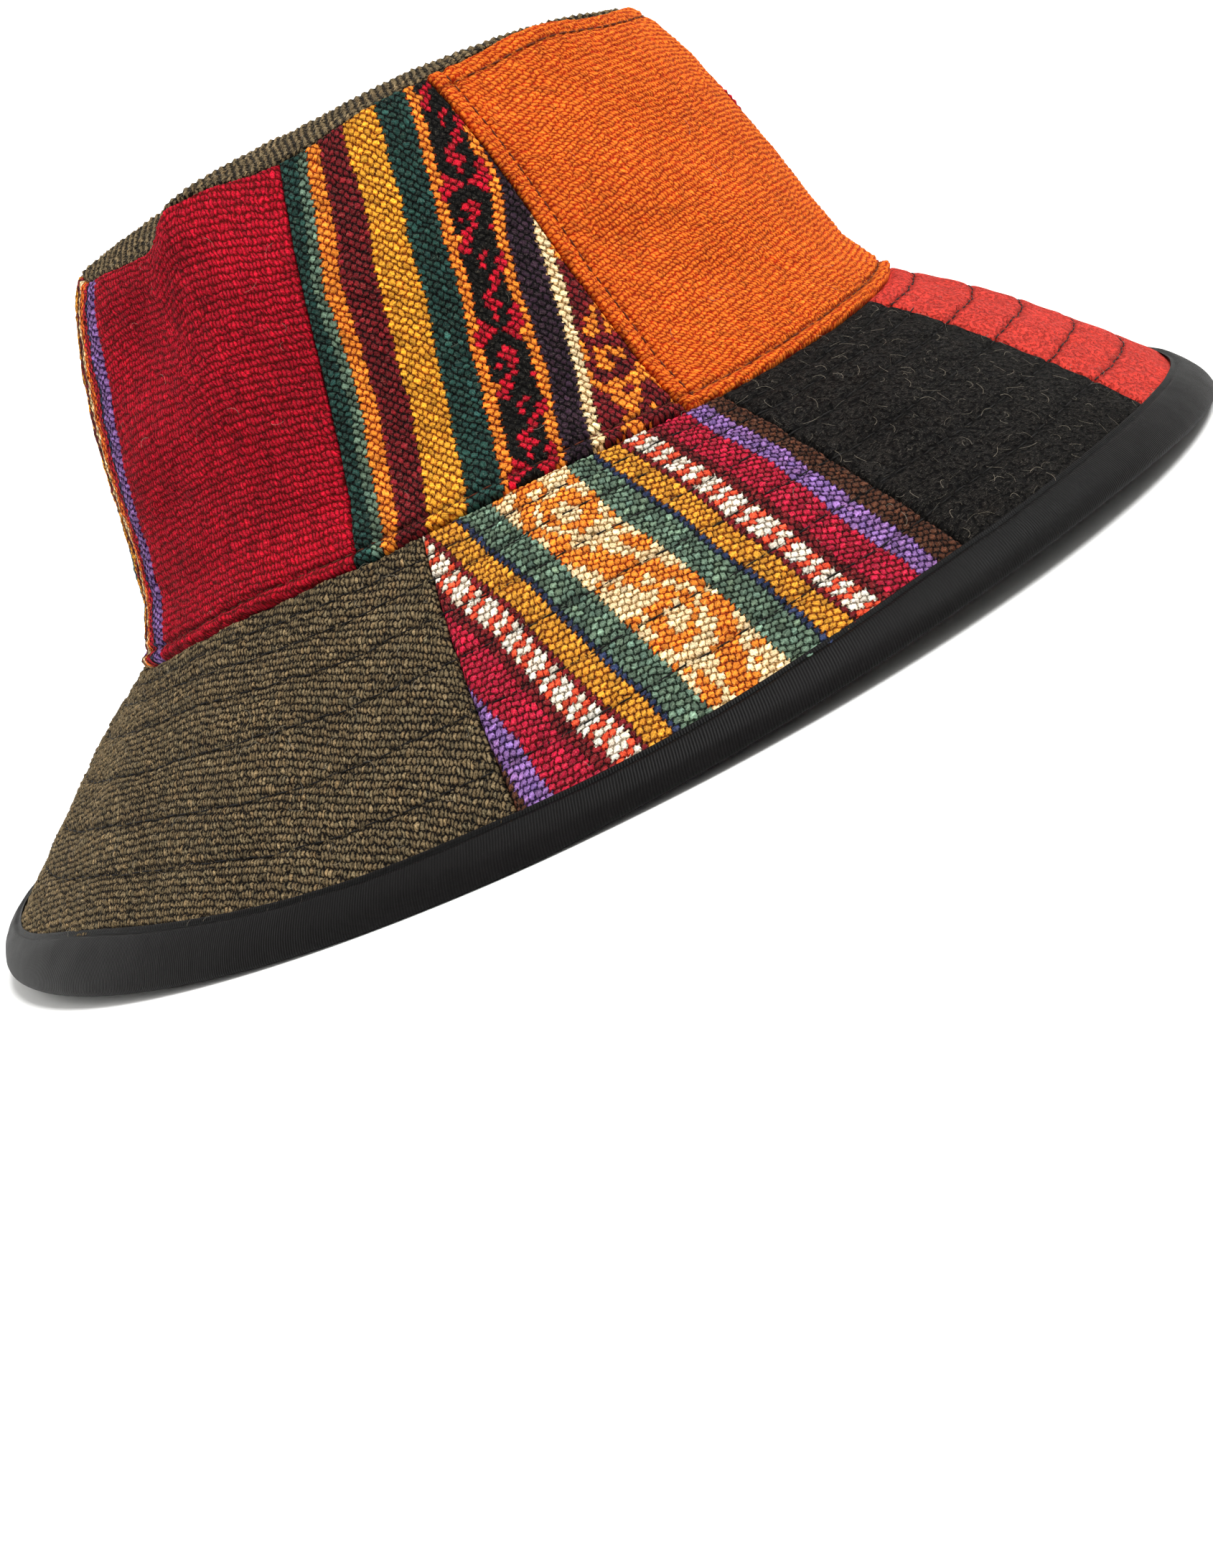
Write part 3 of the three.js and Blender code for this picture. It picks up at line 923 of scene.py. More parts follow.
# Bands of the side cloth from its crimson border on: each one's chart and the row where it starts
SIDE_BANDS = (
    (("tttt" + "gg" + "sss" + "nnnnnn" + "mmmmmmm" + "tttttt",), 0),
    (HOOK_CHART, 8),
    (("uuuuu" + "ee",), 0),
    (EYE_CHART, 24),
)
# Half of the brim's striped cloth, from its scroll band outwards; k is the checked band
BRIM_STRIPES = "ggggg" + "d" + "yyyy" + "n" + "kkkk" + "nn" + "cccccc" + "pppp"
CHECK_CHART = ("h", "h", "v", "h", "v")
SCROLL_CHART = (
    "esseeseeesess",
    "sssessssssees",
    "ssessesesssee",
    "ssesseeesssee",
    "eseeseeeessss",
    "essesseeessss",
    "sssseesssssee",
    "ssseeesesesee",
    "sssseeeeeeees",
    "esssseeeeeese",
    "eessssseeeeee",
    "eessssseeesse",
    "eeessssseesse",
    "esessssseesss",
    "seeesssssesss",
    "eeseesssseeee",
    "eeeesssssseee",
    "eeeeessesssee",
    "eeeeeseesssee",
    "eeeeeesssssse",
)
# The scroll band starts this far from the cloth's edge, in mm
SCROLL_START = 37.2
SCROLL_FIRST_ROW = -3


def chart_letters(chart, column, row):
    """Letters of a repeating chart."""
    letters = np.array([list(line) for line in chart])
    return letters[np.mod(row, len(chart)), np.mod(column, letters.shape[1])]


def side_letters(column, row):
    """Yarns of the side cloth: stripes, a band of hooks, stripes, then eyes."""
    warp = -column - 1
    letters = np.full(warp.shape, "t")
    first = 0
    for chart, first_row in SIDE_BANDS:
        inside = warp >= first
        letters[inside] = chart_letters(chart, warp[inside] - first, row[inside] - first_row)
        first += len(chart[0])
    return letters


def brim_letters(column, row):
    """Yarns of the brim's striped cloth: the same stripes on both sides of a band of scrolls.

    Every other scroll is turned over.
    """
    width = len(SCROLL_CHART[0])
    warp = column - round(SCROLL_START / STRIPED.pitch[0])
    letters = np.full(warp.shape, "w")
    scroll = (warp >= 0) & (warp < width)
    both_ways = SCROLL_CHART + tuple(line[::-1] for line in SCROLL_CHART)
    letters[scroll] = chart_letters(both_ways, width - 1 - warp[scroll], row[scroll] - SCROLL_FIRST_ROW)
    outward = np.where(warp < 0, -warp - 1, warp - width)
    striped = ~scroll & (outward < len(BRIM_STRIPES))
    letters[striped] = np.array(list(BRIM_STRIPES))[outward[striped]]
    check = letters == "k"
    letters[check] = chart_letters(CHECK_CHART, column[check], row[check])
    return letters


BACK_STRIPES = "pppp" + "d" + "rrr" + "ooo" + "ee" + "nnn" + "mmmm" + "d" + "gggg" + "n"


def back_letters(column, row):
    """Yarns of the back's striped cloth: stripes that repeat."""
    return chart_letters((BACK_STRIPES,), column, 0 * row)


STRIPED = Weave((1.2, 1.75), (3, 4), 0.65, True, 0.3, 0.55, 0.6, "striped_cloth", "Striped cloth")
ORANGE = Weave((0.95, 1.35), (3, 4), 0.38, False, 0.6, 0.55, 0.6, "orange_rib", "Orange cloth")
CRIMSON = Weave((1.0, 1.65), (3, 4), 0.42, False, 0.5, 0.6, 0.65, "crimson_rib", "Crimson cloth")
OLIVE = Weave((0.98, 1.7), (2, 3), 0.55, False, 0.5, 0.7, 0.65, "olive_twill", "Olive cloth")
BLACK = Weave((3.2, 3.2), (4, 4), 0.0, False, 0.0, 0.5, 0.5, "black_wool", "Black wool")
CORAL = Weave((3.2, 3.2), (4, 4), 0.0, False, 0.0, 0.5, 0.5, "coral_felt", "Coral wool")


def coarse(weave):
    """A weave with a lighter mesh, for the patches that are seen less."""
    return replace(weave, steps=(2, 2))


# How far the orange panel's back edge is raised, how puffed its hem is and how far its neighbour sinks
LAP_RISE = 0.3
LAP_PUFF = 0.4
LAP_SINK = 0.1


def level(start, end, top, bottom):
    return 0


def lapped_over(start, end, top, bottom):
    """The orange panel's back edge is turned under and laid over its neighbour."""
    fold = LAP_RISE * smooth_step(end, 9.0, 4.5) + LAP_PUFF * hem_puff(end, LAP_STITCH_INSET)
    return fold + stitch_groove(end - LAP_STITCH_INSET)


def lapped_under(start, end, top, bottom):
    return -LAP_SINK * smooth_step(start, 4.0, 0.0)


def as_woven(across, down):
    return across


# How much wider the brim's striped cloth is at the rim, and how far it is moved there, in mm
FAN = 0.13
FAN_SHIFT = 2.5
# How wide the side cloth's warps are at places down the cloth
DRAWN_DOWN = (-7, 3.5, 14, 35, 75)
DRAWN_WIDTH = (0.88, 0.95, 1.0, 1.01, 1.05)


def fanned_out(across, down):
    """The brim's striped cloth is stretched sideways towards the rim."""
    share = np.clip((down + 0.35 * across) / TRACK_LENGTH["brim"], -0.3, 1.3)
    return across * (1 + FAN * share) + FAN_SHIFT * share


def drawn_in(across, down):
    """The side cloth is drawn in towards the tip."""
    return across * np.interp(down, DRAWN_DOWN, DRAWN_WIDTH)


@dataclass
class Panel:
    """One patch of the hat: its ring, its borders, its weave and its yarns."""

    name: str
    ring: str
    weave: Weave
    top: float
    bottom: float
    yarns: object
    stand: object = level
    eased: object = as_woven
    seed: int = 0
    outline: object = None


def plain(letter):
    return lambda column, row: np.full(column.shape, letter)


CROWN_PANELS = (
    Panel("crown_orange", "crown", ORANGE, 4, 4, plain("o"), stand=lapped_over),
    Panel("crown_striped", "crown", STRIPED, 73.5, 68, side_letters, stand=lapped_under, eased=drawn_in),
    Panel("crown_crimson", "crown", CRIMSON, 103, 113, plain("r")),
    Panel("crown_back_striped", "crown", coarse(STRIPED), 158, 155, back_letters),
    Panel("crown_rear_left", "crown", coarse(CORAL), 204, 204, plain("a")),
    Panel("crown_left", "crown", coarse(ORANGE), 244, 244, plain("o")),
    Panel("crown_front_left", "crown", coarse(BLACK), 284, 284, plain("b")),
    Panel("crown_front", "crown", coarse(CRIMSON), 324, 324, plain("r")),
)
BRIM_PANELS = (
    Panel("brim_coral", "brim", CORAL, -16, -16, plain("a")),
    Panel("brim_black", "brim", BLACK, 30, 33, plain("b")),
    Panel("brim_striped", "brim", STRIPED, 63, 60.5, brim_letters, eased=fanned_out),
    Panel("brim_olive", "brim", OLIVE, 103.5, 99.5, plain("l")),
    Panel("brim_rear_left", "brim", BLACK, 190, 190, plain("b")),
    Panel("brim_left", "brim", coarse(CRIMSON), 240, 240, plain("r")),
    Panel("brim_front_left", "brim", coarse(ORANGE), 292, 292, plain("o")),
)
# The stripes of these cloths run along one of their own borders
GRAIN_ALONG_END = ("crown_striped",)
GRAIN_ALONG_START = ("brim_striped", "crown_back_striped")


def lay_out(panels):
    """Works out each panel's cut from its own border and the next one's."""
    for i, panel in enumerate(panels):
        turn = 360 if i + 1 == len(panels) else 0
        following = panels[(i + 1) % len(panels)]
        start = (panel.top, panel.bottom)
        end = (following.top + turn, following.bottom + turn)
        middle = ((start[0] + end[0]) / 2, (start[1] + end[1]) / 2)
        grain = end if panel.name in GRAIN_ALONG_END else middle
        if panel.name in GRAIN_ALONG_START:
            grain = start
        panel.outline = PanelOutline(panel.ring, start, end, grain)
        panel.seed = 100 + 10 * i + len(panel.ring)


lay_out(CROWN_PANELS)
lay_out(BRIM_PANELS)
TIP = Panel("crown_tip", "tip", coarse(OLIVE), 0, 0, plain("l"), outline=TipOutline(), seed=7)


def yarn_colours(panel, cells, settings):
    """Colour of each face of a panel: its yarn's, a little lighter or darker from pebble to pebble."""
    letters = panel.yarns(cells[:, 0], cells[:, 1])
    size = cells.max(axis=0) - cells.min(axis=0) + 1
    spot = cells - cells.min(axis=0)
    chance = np.random.default_rng(panel.seed + 1)
    brightness = chance.normal(0, 1, tuple(size))[spot[:, 0], spot[:, 1]]
    fleck = chance.uniform(0, 1, tuple(size))[spot[:, 0], spot[:, 1]]
    warmth = chance.normal(0, 0.03, tuple(size))[spot[:, 0], spot[:, 1]]
    colours = np.zeros((len(cells), 3))
    for letter, (name, _, _, spread, fleck_share, lighter) in YARNS.items():
        mine = letters == letter
        colour = np.array(getattr(settings, name))
        factor = np.exp(spread * np.clip(brightness[mine], -2, 2))
        factor = factor * np.where(fleck[mine] < fleck_share, lighter, 1)
        tint = np.stack([1 + warmth[mine], 1 + 0 * warmth[mine], 1 - warmth[mine]], axis=-1)
        colours[mine] = colour * factor[:, None] * tint
    return np.clip(colours, 0, 1)


class Value:
    """A shader socket that takes part in Python sums; each operator adds a Math node."""

    def __init__(self, tree, socket):
        self.tree = tree
        self.socket = socket

    def math(self, operation, *others):
        node = self.tree.node("ShaderNodeMath", {"operation": operation}, dict(enumerate((self,) + others)))
        return Value(self.tree, node.outputs[0])

    def __add__(self, other):
        return self.math("ADD", other)

    __radd__ = __add__

    def __mul__(self, other):
        return self.math("MULTIPLY", other)

    __rmul__ = __mul__

    def __sub__(self, other):
        return self.math("SUBTRACT", other)

    def __rsub__(self, other):
        return (self * -1) + other

    def clamped_below(self, least):
        return self.math("MAXIMUM", least)

    def clamped(self):
        return self.clamped_below(0.0).math("MINIMUM", 1.0)

    def sine(self):
        return self.math("SINE")

    def floor(self):
        return self.math("FLOOR")

    def share(self):
        """What is left over the whole number below."""
        return self.math("FRACT")


class NodeTree:
    """Builds the nodes of a material or of a geometry tree."""

    def __init__(self, tree):
        self.tree = tree

    def node(self, kind, settings=None, inputs=None):
        """Adds a node: its settings first, then the values or links of its sockets."""
        node = self.tree.nodes.new(kind)
        for name, value in (settings or {}).items():
            setattr(node, name, value)
        for name, value in (inputs or {}).items():
            self.feed(node.inputs[name], value)
        return node

    def feed(self, target, value):
        if isinstance(value, Value):
            self.tree.links.new(value.socket, target)
        elif isinstance(value, bpy.types.NodeSocket):
            self.tree.links.new(value, target)
        else:
            target.default_value = value


class Finish(NodeTree):
    """A material on one Principled shader."""

    def __init__(self, name, **numbers):
        self.material = bpy.data.materials.new(name)
        self.material.use_nodes = True
        super().__init__(self.material.node_tree)
        self.shader = self.tree.nodes["Principled BSDF"]
        for socket, value in numbers.items():
            self.shader.inputs[socket.replace("_", " ")].default_value = value

    def attribute(self, name):
        return self.node("ShaderNodeAttribute", {"attribute_name": name})

    def cloth_place(self):
        """The place on the flat cloth, in mm, as a vector and as its two parts."""
        place = self.node("ShaderNodeUVMap", {"uv_map": "cloth"}).outputs["UV"]
        parts = self.node("ShaderNodeSeparateXYZ", {}, {0: place})
        return place, Value(self, parts.outputs[0]), Value(self, parts.outputs[1])

    def stretched(self, place, scale, turn=0.0):
        node = self.node("ShaderNodeMapping", {}, {"Vector": place, "Scale": scale, "Rotation": (0, 0, turn)})
        return node.outputs[0]

    def noise(self, place, scale, detail=2.0, roughness=0.6):
        inputs = {"Vector": place, "Scale": scale, "Detail": detail, "Roughness": roughness}
        return Value(self, self.node("ShaderNodeTexNoise", {}, inputs).outputs[0])

    def ramp(self, value, low, high):
        """0 where the value is at low and 1 where it is at high, smooth between."""
        inputs = {"Value": value, "From Min": low, "From Max": high}
        node = self.node("ShaderNodeMapRange", {"interpolation_type": "SMOOTHSTEP"}, inputs)
        return Value(self, node.outputs[0])

    def mixed(self, factor, first, second):
        settings = {"data_type": "RGBA", "blend_type": "MIX"}
        node = self.node("ShaderNodeMix", settings, {"Factor": factor, 6: first, 7: second})
        return node.outputs[2]

    def brightened(self, colour, amount):
        """A colour times a number that varies."""
        node = self.node("ShaderNodeVectorMath", {"operation": "SCALE"}, {0: colour, "Scale": amount})
        return node.outputs[0]

    def bump(self, height, distance):
        inputs = {"Height": height, "Distance": distance * MM, "Strength": 1.0}
        self.feed(self.shader.inputs["Normal"], self.node("ShaderNodeBump", {}, inputs).outputs[0])


def woven_material(weave, spread, melange, gap_shade, hair_colour, hair_glint_amount, patch_shade):
    """Yarn in pebbles: painted shade in the gaps, painted highlights on the tips, twisted plies, and fibres
    of the yarn's own shades and paler.

    spread is how far pebbles differ, melange how far fibres do, the number for the gaps how light their
    painted shade is, and the last number how strong the painted light and shade of broad soft patches is.
    """
    finish = Finish(weave.material, Roughness=0.85, Specular_IOR_Level=0.12)
    place, across, down = finish.cloth_place()
    yarn = finish.attribute("yarn").outputs["Color"]
    # Painted shade along the grooves that the stitches pull in
    stitch_shade = Value(finish, finish.attribute("stitch_shade").outputs["Fac"])
    # Where a point lies in its pebble: beside and along run from -1 to 1 across it
    stray_across = finish.noise(finish.stretched(place, (1.0, 1.0, 1.0)), 1.0, 1.5) - 0.5
    stray_down = finish.noise(finish.stretched(place, (0.8, 0.8, 1.0), 1.3), 1.0, 1.5) - 0.5
    across_count = across * (1 / weave.pitch[0])
    down_count = down * (1 / weave.pitch[1]) + stray_down * (0.5 if weave.staggered else 0.9)
    if weave.staggered:
        bulge = (down_count * (2 * math.pi) + math.pi / 2).sine() * SCALLOP
        down_count = down_count + (across_count.floor() * 0.5).share()
    along = down_count.share() * 2 - 1
    across_count = across_count + along * (weave.lean / 2) + stray_across * (0.7 if weave.staggered else 1.2)
    if weave.staggered:
        across_count = across_count - bulge * (across_count * math.pi + math.pi / 2).sine()
    beside = across_count.share() * 2 - 1
    # How plump the pebble is there, with the fibres and the plies of its yarn
    hollow = beside * beside * (weave.side_gap + 0.15) + along * along * (weave.end_gap + 0.1)
    fibre = finish.noise(finish.stretched(place, (4.6, 2.6, 1.0), 0.35), 1.0, 3.0, 0.65)
    plump = (1.0 - hollow + (fibre - 0.5) * 0.7).clamped()
    cell = {0: across_count.floor(), 1: down_count.floor()}
    cell = finish.node("ShaderNodeCombineXYZ", {}, cell).outputs[0]
    chance = Value(finish, finish.node("ShaderNodeTexWhiteNoise", {}, {"Vector": cell}).outputs["Value"])
    ply = ((beside * 0.9 + along * 1.6 * weave.pitch[1] + stray_across * 3.0) * 3.1).sine() * 0.5 + 0.5
    # Painted light and shade: shade in the gaps, highlights on the tips, light and shade of broad patches,
    # shade along the lines of stitches and in dark holes; besides these, the tones of pebbles, plies and
    # fibres
    # Broad soft patches, painted lighter and darker: painted light and shade like that over soft dents
    patch = finish.noise(place, 0.035, 3.0)
    # Painted shade in the gaps between pebbles
    depth = finish.ramp(plump, 0.0, 0.9)
    # Painted highlight on the tops of the pebbles
    tip = finish.ramp(plump, 0.8, 1.15)
    light = (depth * (1 - gap_shade) + gap_shade + tip * chance * 0.7) * (chance * (2 * spread) + (1 - spread))
    light = light * (ply * 0.3 + 0.85) * ((fibre - 0.5) * (2 * melange) + 1.0).clamped_below(0.15)
    light = light * ((patch - 0.5) * patch_shade + 1) * (1 - stitch_shade * 0.55)
    if weave.staggered:
        # Painted shade in dark holes at random corners where pebbles meet
        corner = finish.ramp(beside * beside * along * along, 0.2, 0.5) * finish.ramp(chance, 0.62, 0.7)
        light = light * (1 - corner * 0.85)
    # Painted shade: the gaps take the yarn's colour squared, darker and deeper
    deep = finish.node("ShaderNodeVectorMath", {"operation": "MULTIPLY"}, {0: yarn, 1: yarn}).outputs[0]
    colour = finish.brightened(finish.mixed(finish.ramp(plump, 0.1, 0.9), deep, yarn), light)
    # Paler strands of fibre on top: partly paler fibres, partly painted glints of sheen on the pebbles' tops
    first = finish.noise(finish.stretched(place, (0.9, 4.0, 1.0), 0.7), 1.0, 3.0, 0.75)
    second = finish.noise(finish.stretched(place, (4.0, 1.1, 1.0), 0.5), 1.0, 3.0, 0.75)
    strand_glint = (finish.ramp(first, 0.56, 0.64) + finish.ramp(second, 0.57, 0.65)).clamped()
    lint = tuple(0.12 * part for part in linear_colour(hair_colour))
    inputs = {0: yarn, 1: (1.7, 1.7, 1.7), 2: lint}
    pale = finish.node("ShaderNodeVectorMath", {"operation": "MULTIPLY_ADD"}, inputs).outputs[0]
    colour = finish.mixed(strand_glint * plump * hair_glint_amount, colour, pale)
    finish.feed(finish.shader.inputs["Base Color"], colour)
    finish.feed(finish.shader.inputs["Roughness"], fibre * 0.16 + 0.74)
    finish.bump(ply * 0.2 + fibre * 0.7 + plump * 1.4 + strand_glint * 0.25, 0.3)
    return finish.material


def felt_material(name, pale, pale_amount, contrast, depth, crease_shade):
    """Milled wool: matted tufts and fibres, with no yarns left to see.

    contrast is how strong the mat's tones are and how dark the painted shade in the hollows is, depth how
    deep the bump is, in mm, and the last number how dark the painted shade of a stitch groove is.
    """
    finish = Finish(name, Roughness=0.95, Specular_IOR_Level=0.1)
    place, _, _ = finish.cloth_place()
    yarn = finish.attribute("yarn").outputs["Color"]
    # Painted shade along the grooves that the stitches pull in; no pale fibres show there
    stitch_shade = Value(finish, finish.attribute("stitch_shade").outputs["Fac"])
    mat = finish.noise(place, 1.5, 4.0, 0.75)
    tufts = finish.noise(finish.stretched(place, (0.7, 1.0, 1.0), 0.4), 1.0, 1.5, 0.5)
    lumps = finish.noise(place, 0.2, 3.0, 0.6)
    first = finish.noise(finish.stretched(place, (0.9, 4.6, 1.0), 0.5), 1.0, 3.0, 0.7)
    second = finish.noise(finish.stretched(place, (4.6, 1.0, 1.0), 0.4), 1.0, 3.0, 0.7)
    strands = (finish.ramp(first, 0.54, 0.64) + finish.ramp(second, 0.55, 0.65)).clamped()
    # Painted shade in the hollows between tufts
    pit = finish.ramp(tufts, 0.34, 0.52)
    light = ((mat - 0.5) * (2.6 * contrast) + 1.0).clamped_below(0.2)
    light = light * (pit * contrast + (1 - contrast * 0.7))
    light = light * (lumps * 0.4 + 0.8) * (1 - stitch_shade * crease_shade)
    colour = finish.brightened(yarn, light)
    colour = finish.mixed(strands * pit * pale_amount * (1 - stitch_shade), colour, (*linear_colour(pale), 1.0))
    finish.feed(finish.shader.inputs["Base Color"], colour)
    finish.feed(finish.shader.inputs["Roughness"], mat * 0.1 + 0.87)
    finish.bump(mat * 0.5 + strands * 0.3 + pit * 1.1 + lumps * 0.4, depth)
    return finish.material


# The tape's ribs come again after this much across and down it, in mm
RIB_ACROSS = 0.62
RIB_DOWN = 4.0


def tape_material():
    """Satin twill tape: fine slanting ribs with painted sheen, and a painted shadow along its upper edge."""
    finish = Finish("Binding tape", Roughness=0.6, Specular_IOR_Level=0.08)
    place, across, down = finish.cloth_place()
    stray = finish.noise(finish.stretched(place, (0.5, 0.2, 1.0)), 1.0, 2.0) * 2.5
    # The ribs' crests are painted lighter: painted sheen along the ribs
    slant = (across * (2 * math.pi / RIB_ACROSS) + down * (2 * math.pi / RIB_DOWN) + stray).sine() * 0.5 + 0.5
    # Broad worn patches, also painted as brighter and darker sheen
    wear_and_sheen = finish.noise(place, 0.12, 4.0, 0.65)
    thread = finish.noise(finish.stretched(place, (3.0, 6.0, 1.0)), 1.0, 2.0)
    speck = finish.ramp(finish.noise(place, 2.4, 1.0), 0.68, 0.78)
    light = (slant * 1.0 + 0.4) * (wear_and_sheen * 0.9 + 0.55) * (thread * 1.2 + 0.4) + speck * 2.0
    # Painted shadow: a dark band along the tape's upper edge, where it meets the cloth
    light = light * (finish.ramp(down, 1.0, 2.2) * 0.85 + 0.15)
    colour = finish.brightened(linear_colour("0C0B0B"), light)
    finish.feed(finish.shader.inputs["Base Color"], colour)
    finish.feed(finish.shader.inputs["Roughness"], wear_and_sheen * 0.2 + (1 - slant) * 0.12 + 0.36)
    finish.bump(slant * 0.8 + thread * 0.3 + wear_and_sheen * 0.8, 0.08)
    return finish.material


def thread_material(name, code):
    """Spun sewing thread or loose fibre."""
    finish = Finish(name, Roughness=0.75, Specular_IOR_Level=0.15)
    place = finish.node("ShaderNodeTexCoord").outputs["Object"]
    lint = finish.noise(place, 900.0, 2.0)
    dark = (*linear_colour(code), 1.0)
    pale = tuple(min(1.0, part * 1.8 + 0.01) for part in dark[:3]) + (1.0,)
    finish.feed(finish.shader.inputs["Base Color"], finish.mixed(finish.ramp(lint, 0.35, 0.75), dark, pale))
    return finish.material


def floor_material(colour):
    finish = Finish("Pale floor", Roughness=0.75, Specular_IOR_Level=0.2)
    place = finish.node("ShaderNodeTexCoord").outputs["Object"]
    cloud = finish.noise(place, 1.6, 3.0)
    shade = tuple(part * 0.97 for part in colour)
    mix = finish.mixed(cloud, (*shade, 1.0), (*colour, 1.0))
    finish.feed(finish.shader.inputs["Base Color"], mix)
    return finish.material


MATERIALS = {}


def material_of(weave):
    """The finish of a cloth, made once."""
    makers = {
        "Striped cloth": lambda: woven_material(weave, 0.18, 1.0, 0.3, "E8DCC0", 0.65, 0.4),
        "Orange cloth": lambda: woven_material(weave, 0.12, 0.6, 0.5, "FBC080", 0.55, 0.5),
        "Crimson cloth": lambda: woven_material(weave, 0.2, 1.0, 0.45, "F07A88", 0.8, 1.3),
        "Olive cloth": lambda: woven_material(weave, 0.25, 1.2, 0.06, "E8DCB8", 0.85, 0.6),
        "Black wool": lambda: felt_material("Black wool", "6A645B", 0.35, 1.0, 0.8, 0.25),
        "Coral wool": lambda: felt_material("Coral wool", "EE8478", 0.25, 0.22, 0.9, 0.6),
    }
    if weave.material not in MATERIALS:
        MATERIALS[weave.material] = makers[weave.material]()
    return MATERIALS[weave.material]


def sew_panel(panel):
    settings = bpy.context.scene.hat_yarns
    outer = woven_face(panel)
    inner = lining_face(panel.outline)
    colours = yarn_colours(panel, outer.cells, settings)
    piece = shell_mesh("cloth_" + panel.name, outer, inner, colours, material_of(panel.weave))
    cut = panel.outline.outline()
    declare_cloth(piece, panel.name)


def tape_section(angle):
    """Section of the folded tape at an angle, from the top of its outer leg round the rim and back."""
    around = np.radians(angle) * MEAN_TAPE_RADIUS
    ease = 0.35 * SOFTNESS(around, 0 * angle) + 0.18 * PUCKER(around, 0 * angle)
    start = SEAM_TRACK + read_edge(TAPE_EDGE, angle) + 0.002 * ease
    end = SEAM_TRACK + TAPE_LEG_END + 0 * angle
    rim = hat_point(angle, RIM_TRACK - read_edge(TAPE_FOLD, angle))
    inner = rim * (1 - TAPE_FOLD_WIDTH / np.hypot(rim[:, 0], rim[:, 1]))[:, None]
    inner[:, 2] = rim[:, 2]
    legs = []
    for out, out_ease, proud, proud_ease in TAPE_OUTER_LEG:
        track = start + out + out_ease * ease
        legs.append(cloth_point(angle, track, TAPE_PROUD + proud + proud_ease * ease))
    legs += [cloth_point(angle, end, TAPE_PROUD + 0.1), rim, inner]
    legs += [cloth_point(angle, track, -WALL - TAPE_UNDER) for track in (end, start + 0.06, start)]
    legs += [cloth_point(angle, track, -WALL - TAPE_CLEARANCE) for track in (start, end)]
    legs += [cloth_point(angle, track, TAPE_CLEARANCE) for track in (end, start)]
    return np.stack(legs, axis=1)


def rounded(loops):
    """Cuts the corners of closed sections once."""
    following = np.roll(loops, -1, axis=1)
    near = loops * 0.75 + following * 0.25
    far = loops * 0.25 + following * 0.75
    return np.stack([near, far], axis=2).reshape(len(loops), -1, 3)


class HatYarns(bpy.types.PropertyGroup):
    """Yarn colours."""

    __annotations__ = {
        name: FloatVectorProperty(
            name=label,
            description="Colour of the " + label.lower() + " yarn",
            subtype="COLOR",
            size=3,
            min=0.0,
            max=1.0,
            default=linear_colour(code),
        )
        for name, label, code, *_ in YARNS.values()
    }


def length_property(name, description, default_mm):
    return FloatProperty(
        name=name,
        description=description,
        default=default_mm * MM,
        unit="LENGTH",
        precision=5,
    )


class HatThreads(bpy.types.PropertyGroup):
    """Sizes of the sewing thread and of loose fibres."""

    quilt_pitch: length_property("Quilting pitch", "Distance from one quilting stitch to the next", 4.4)
    quilt_length: length_property("Quilting stitch", "Length of a quilting stitch that shows", 4.1)
    top_pitch: length_property("Topstitch pitch", "Distance from one topstitch of the crown to the next", 3.1)
    top_length: length_property("Topstitch", "Length of a topstitch that shows", 2.5)
    radius: length_property("Thread radius", "Radius of the sewing thread", 0.19)
    fibre_length: length_property("Fibre length", "Length of the longest loose fibres", 4.2)
    fibres: IntProperty(
        name="Fibres",
        description="Loose fibres to a square decimetre of wool",
        default=380,
    )


class HatStage(bpy.types.PropertyGroup):
    """Floor, light and camera."""

    floor: FloatVectorProperty(
        name="Floor",
        description="Colour of the floor and backdrop",
        subtype="COLOR",
        size=3,
        min=0.0,
        max=1.0,
        default=(0.86, 0.86, 0.85),
    )
    backdrop: FloatProperty(
        name="Backdrop radius",
        description="Radius at which the floor has turned up into the backdrop",
        default=8 * max(CAD_BOX[1][0], CAD_BOX[1][1]) + 1.2,
        unit="LENGTH",
    )
    key: FloatProperty(name="Key light", description="Strength of the main light", default=4.4)
    fill: FloatProperty(name="Fill light", description="Strength of the fill light", default=1.4)
    sky: FloatProperty(name="Sky", description="Strength of the even light all round", default=0.45)


class HAT_OT_tip(bpy.types.Operator):
    """Sews the domed tip"""

    bl_idname = "hat.tip"
    bl_label = "Tip"

    def execute(self, context):
        sew_panel(TIP)
        return {"FINISHED"}


class HAT_OT_crown(bpy.types.Operator):
    """Sews the ring of crown panels"""

    bl_idname = "hat.crown"
    bl_label = "Crown panels"

    def execute(self, context):
        for panel in CROWN_PANELS:
            sew_panel(panel)
        return {"FINISHED"}


class HAT_OT_brim(bpy.types.Operator):
    """Sews the ring of quilted brim panels"""

    bl_idname = "hat.brim"
    bl_label = "Brim panels"

    def execute(self, context):
        for panel in BRIM_PANELS:
            sew_panel(panel)
        return {"FINISHED"}


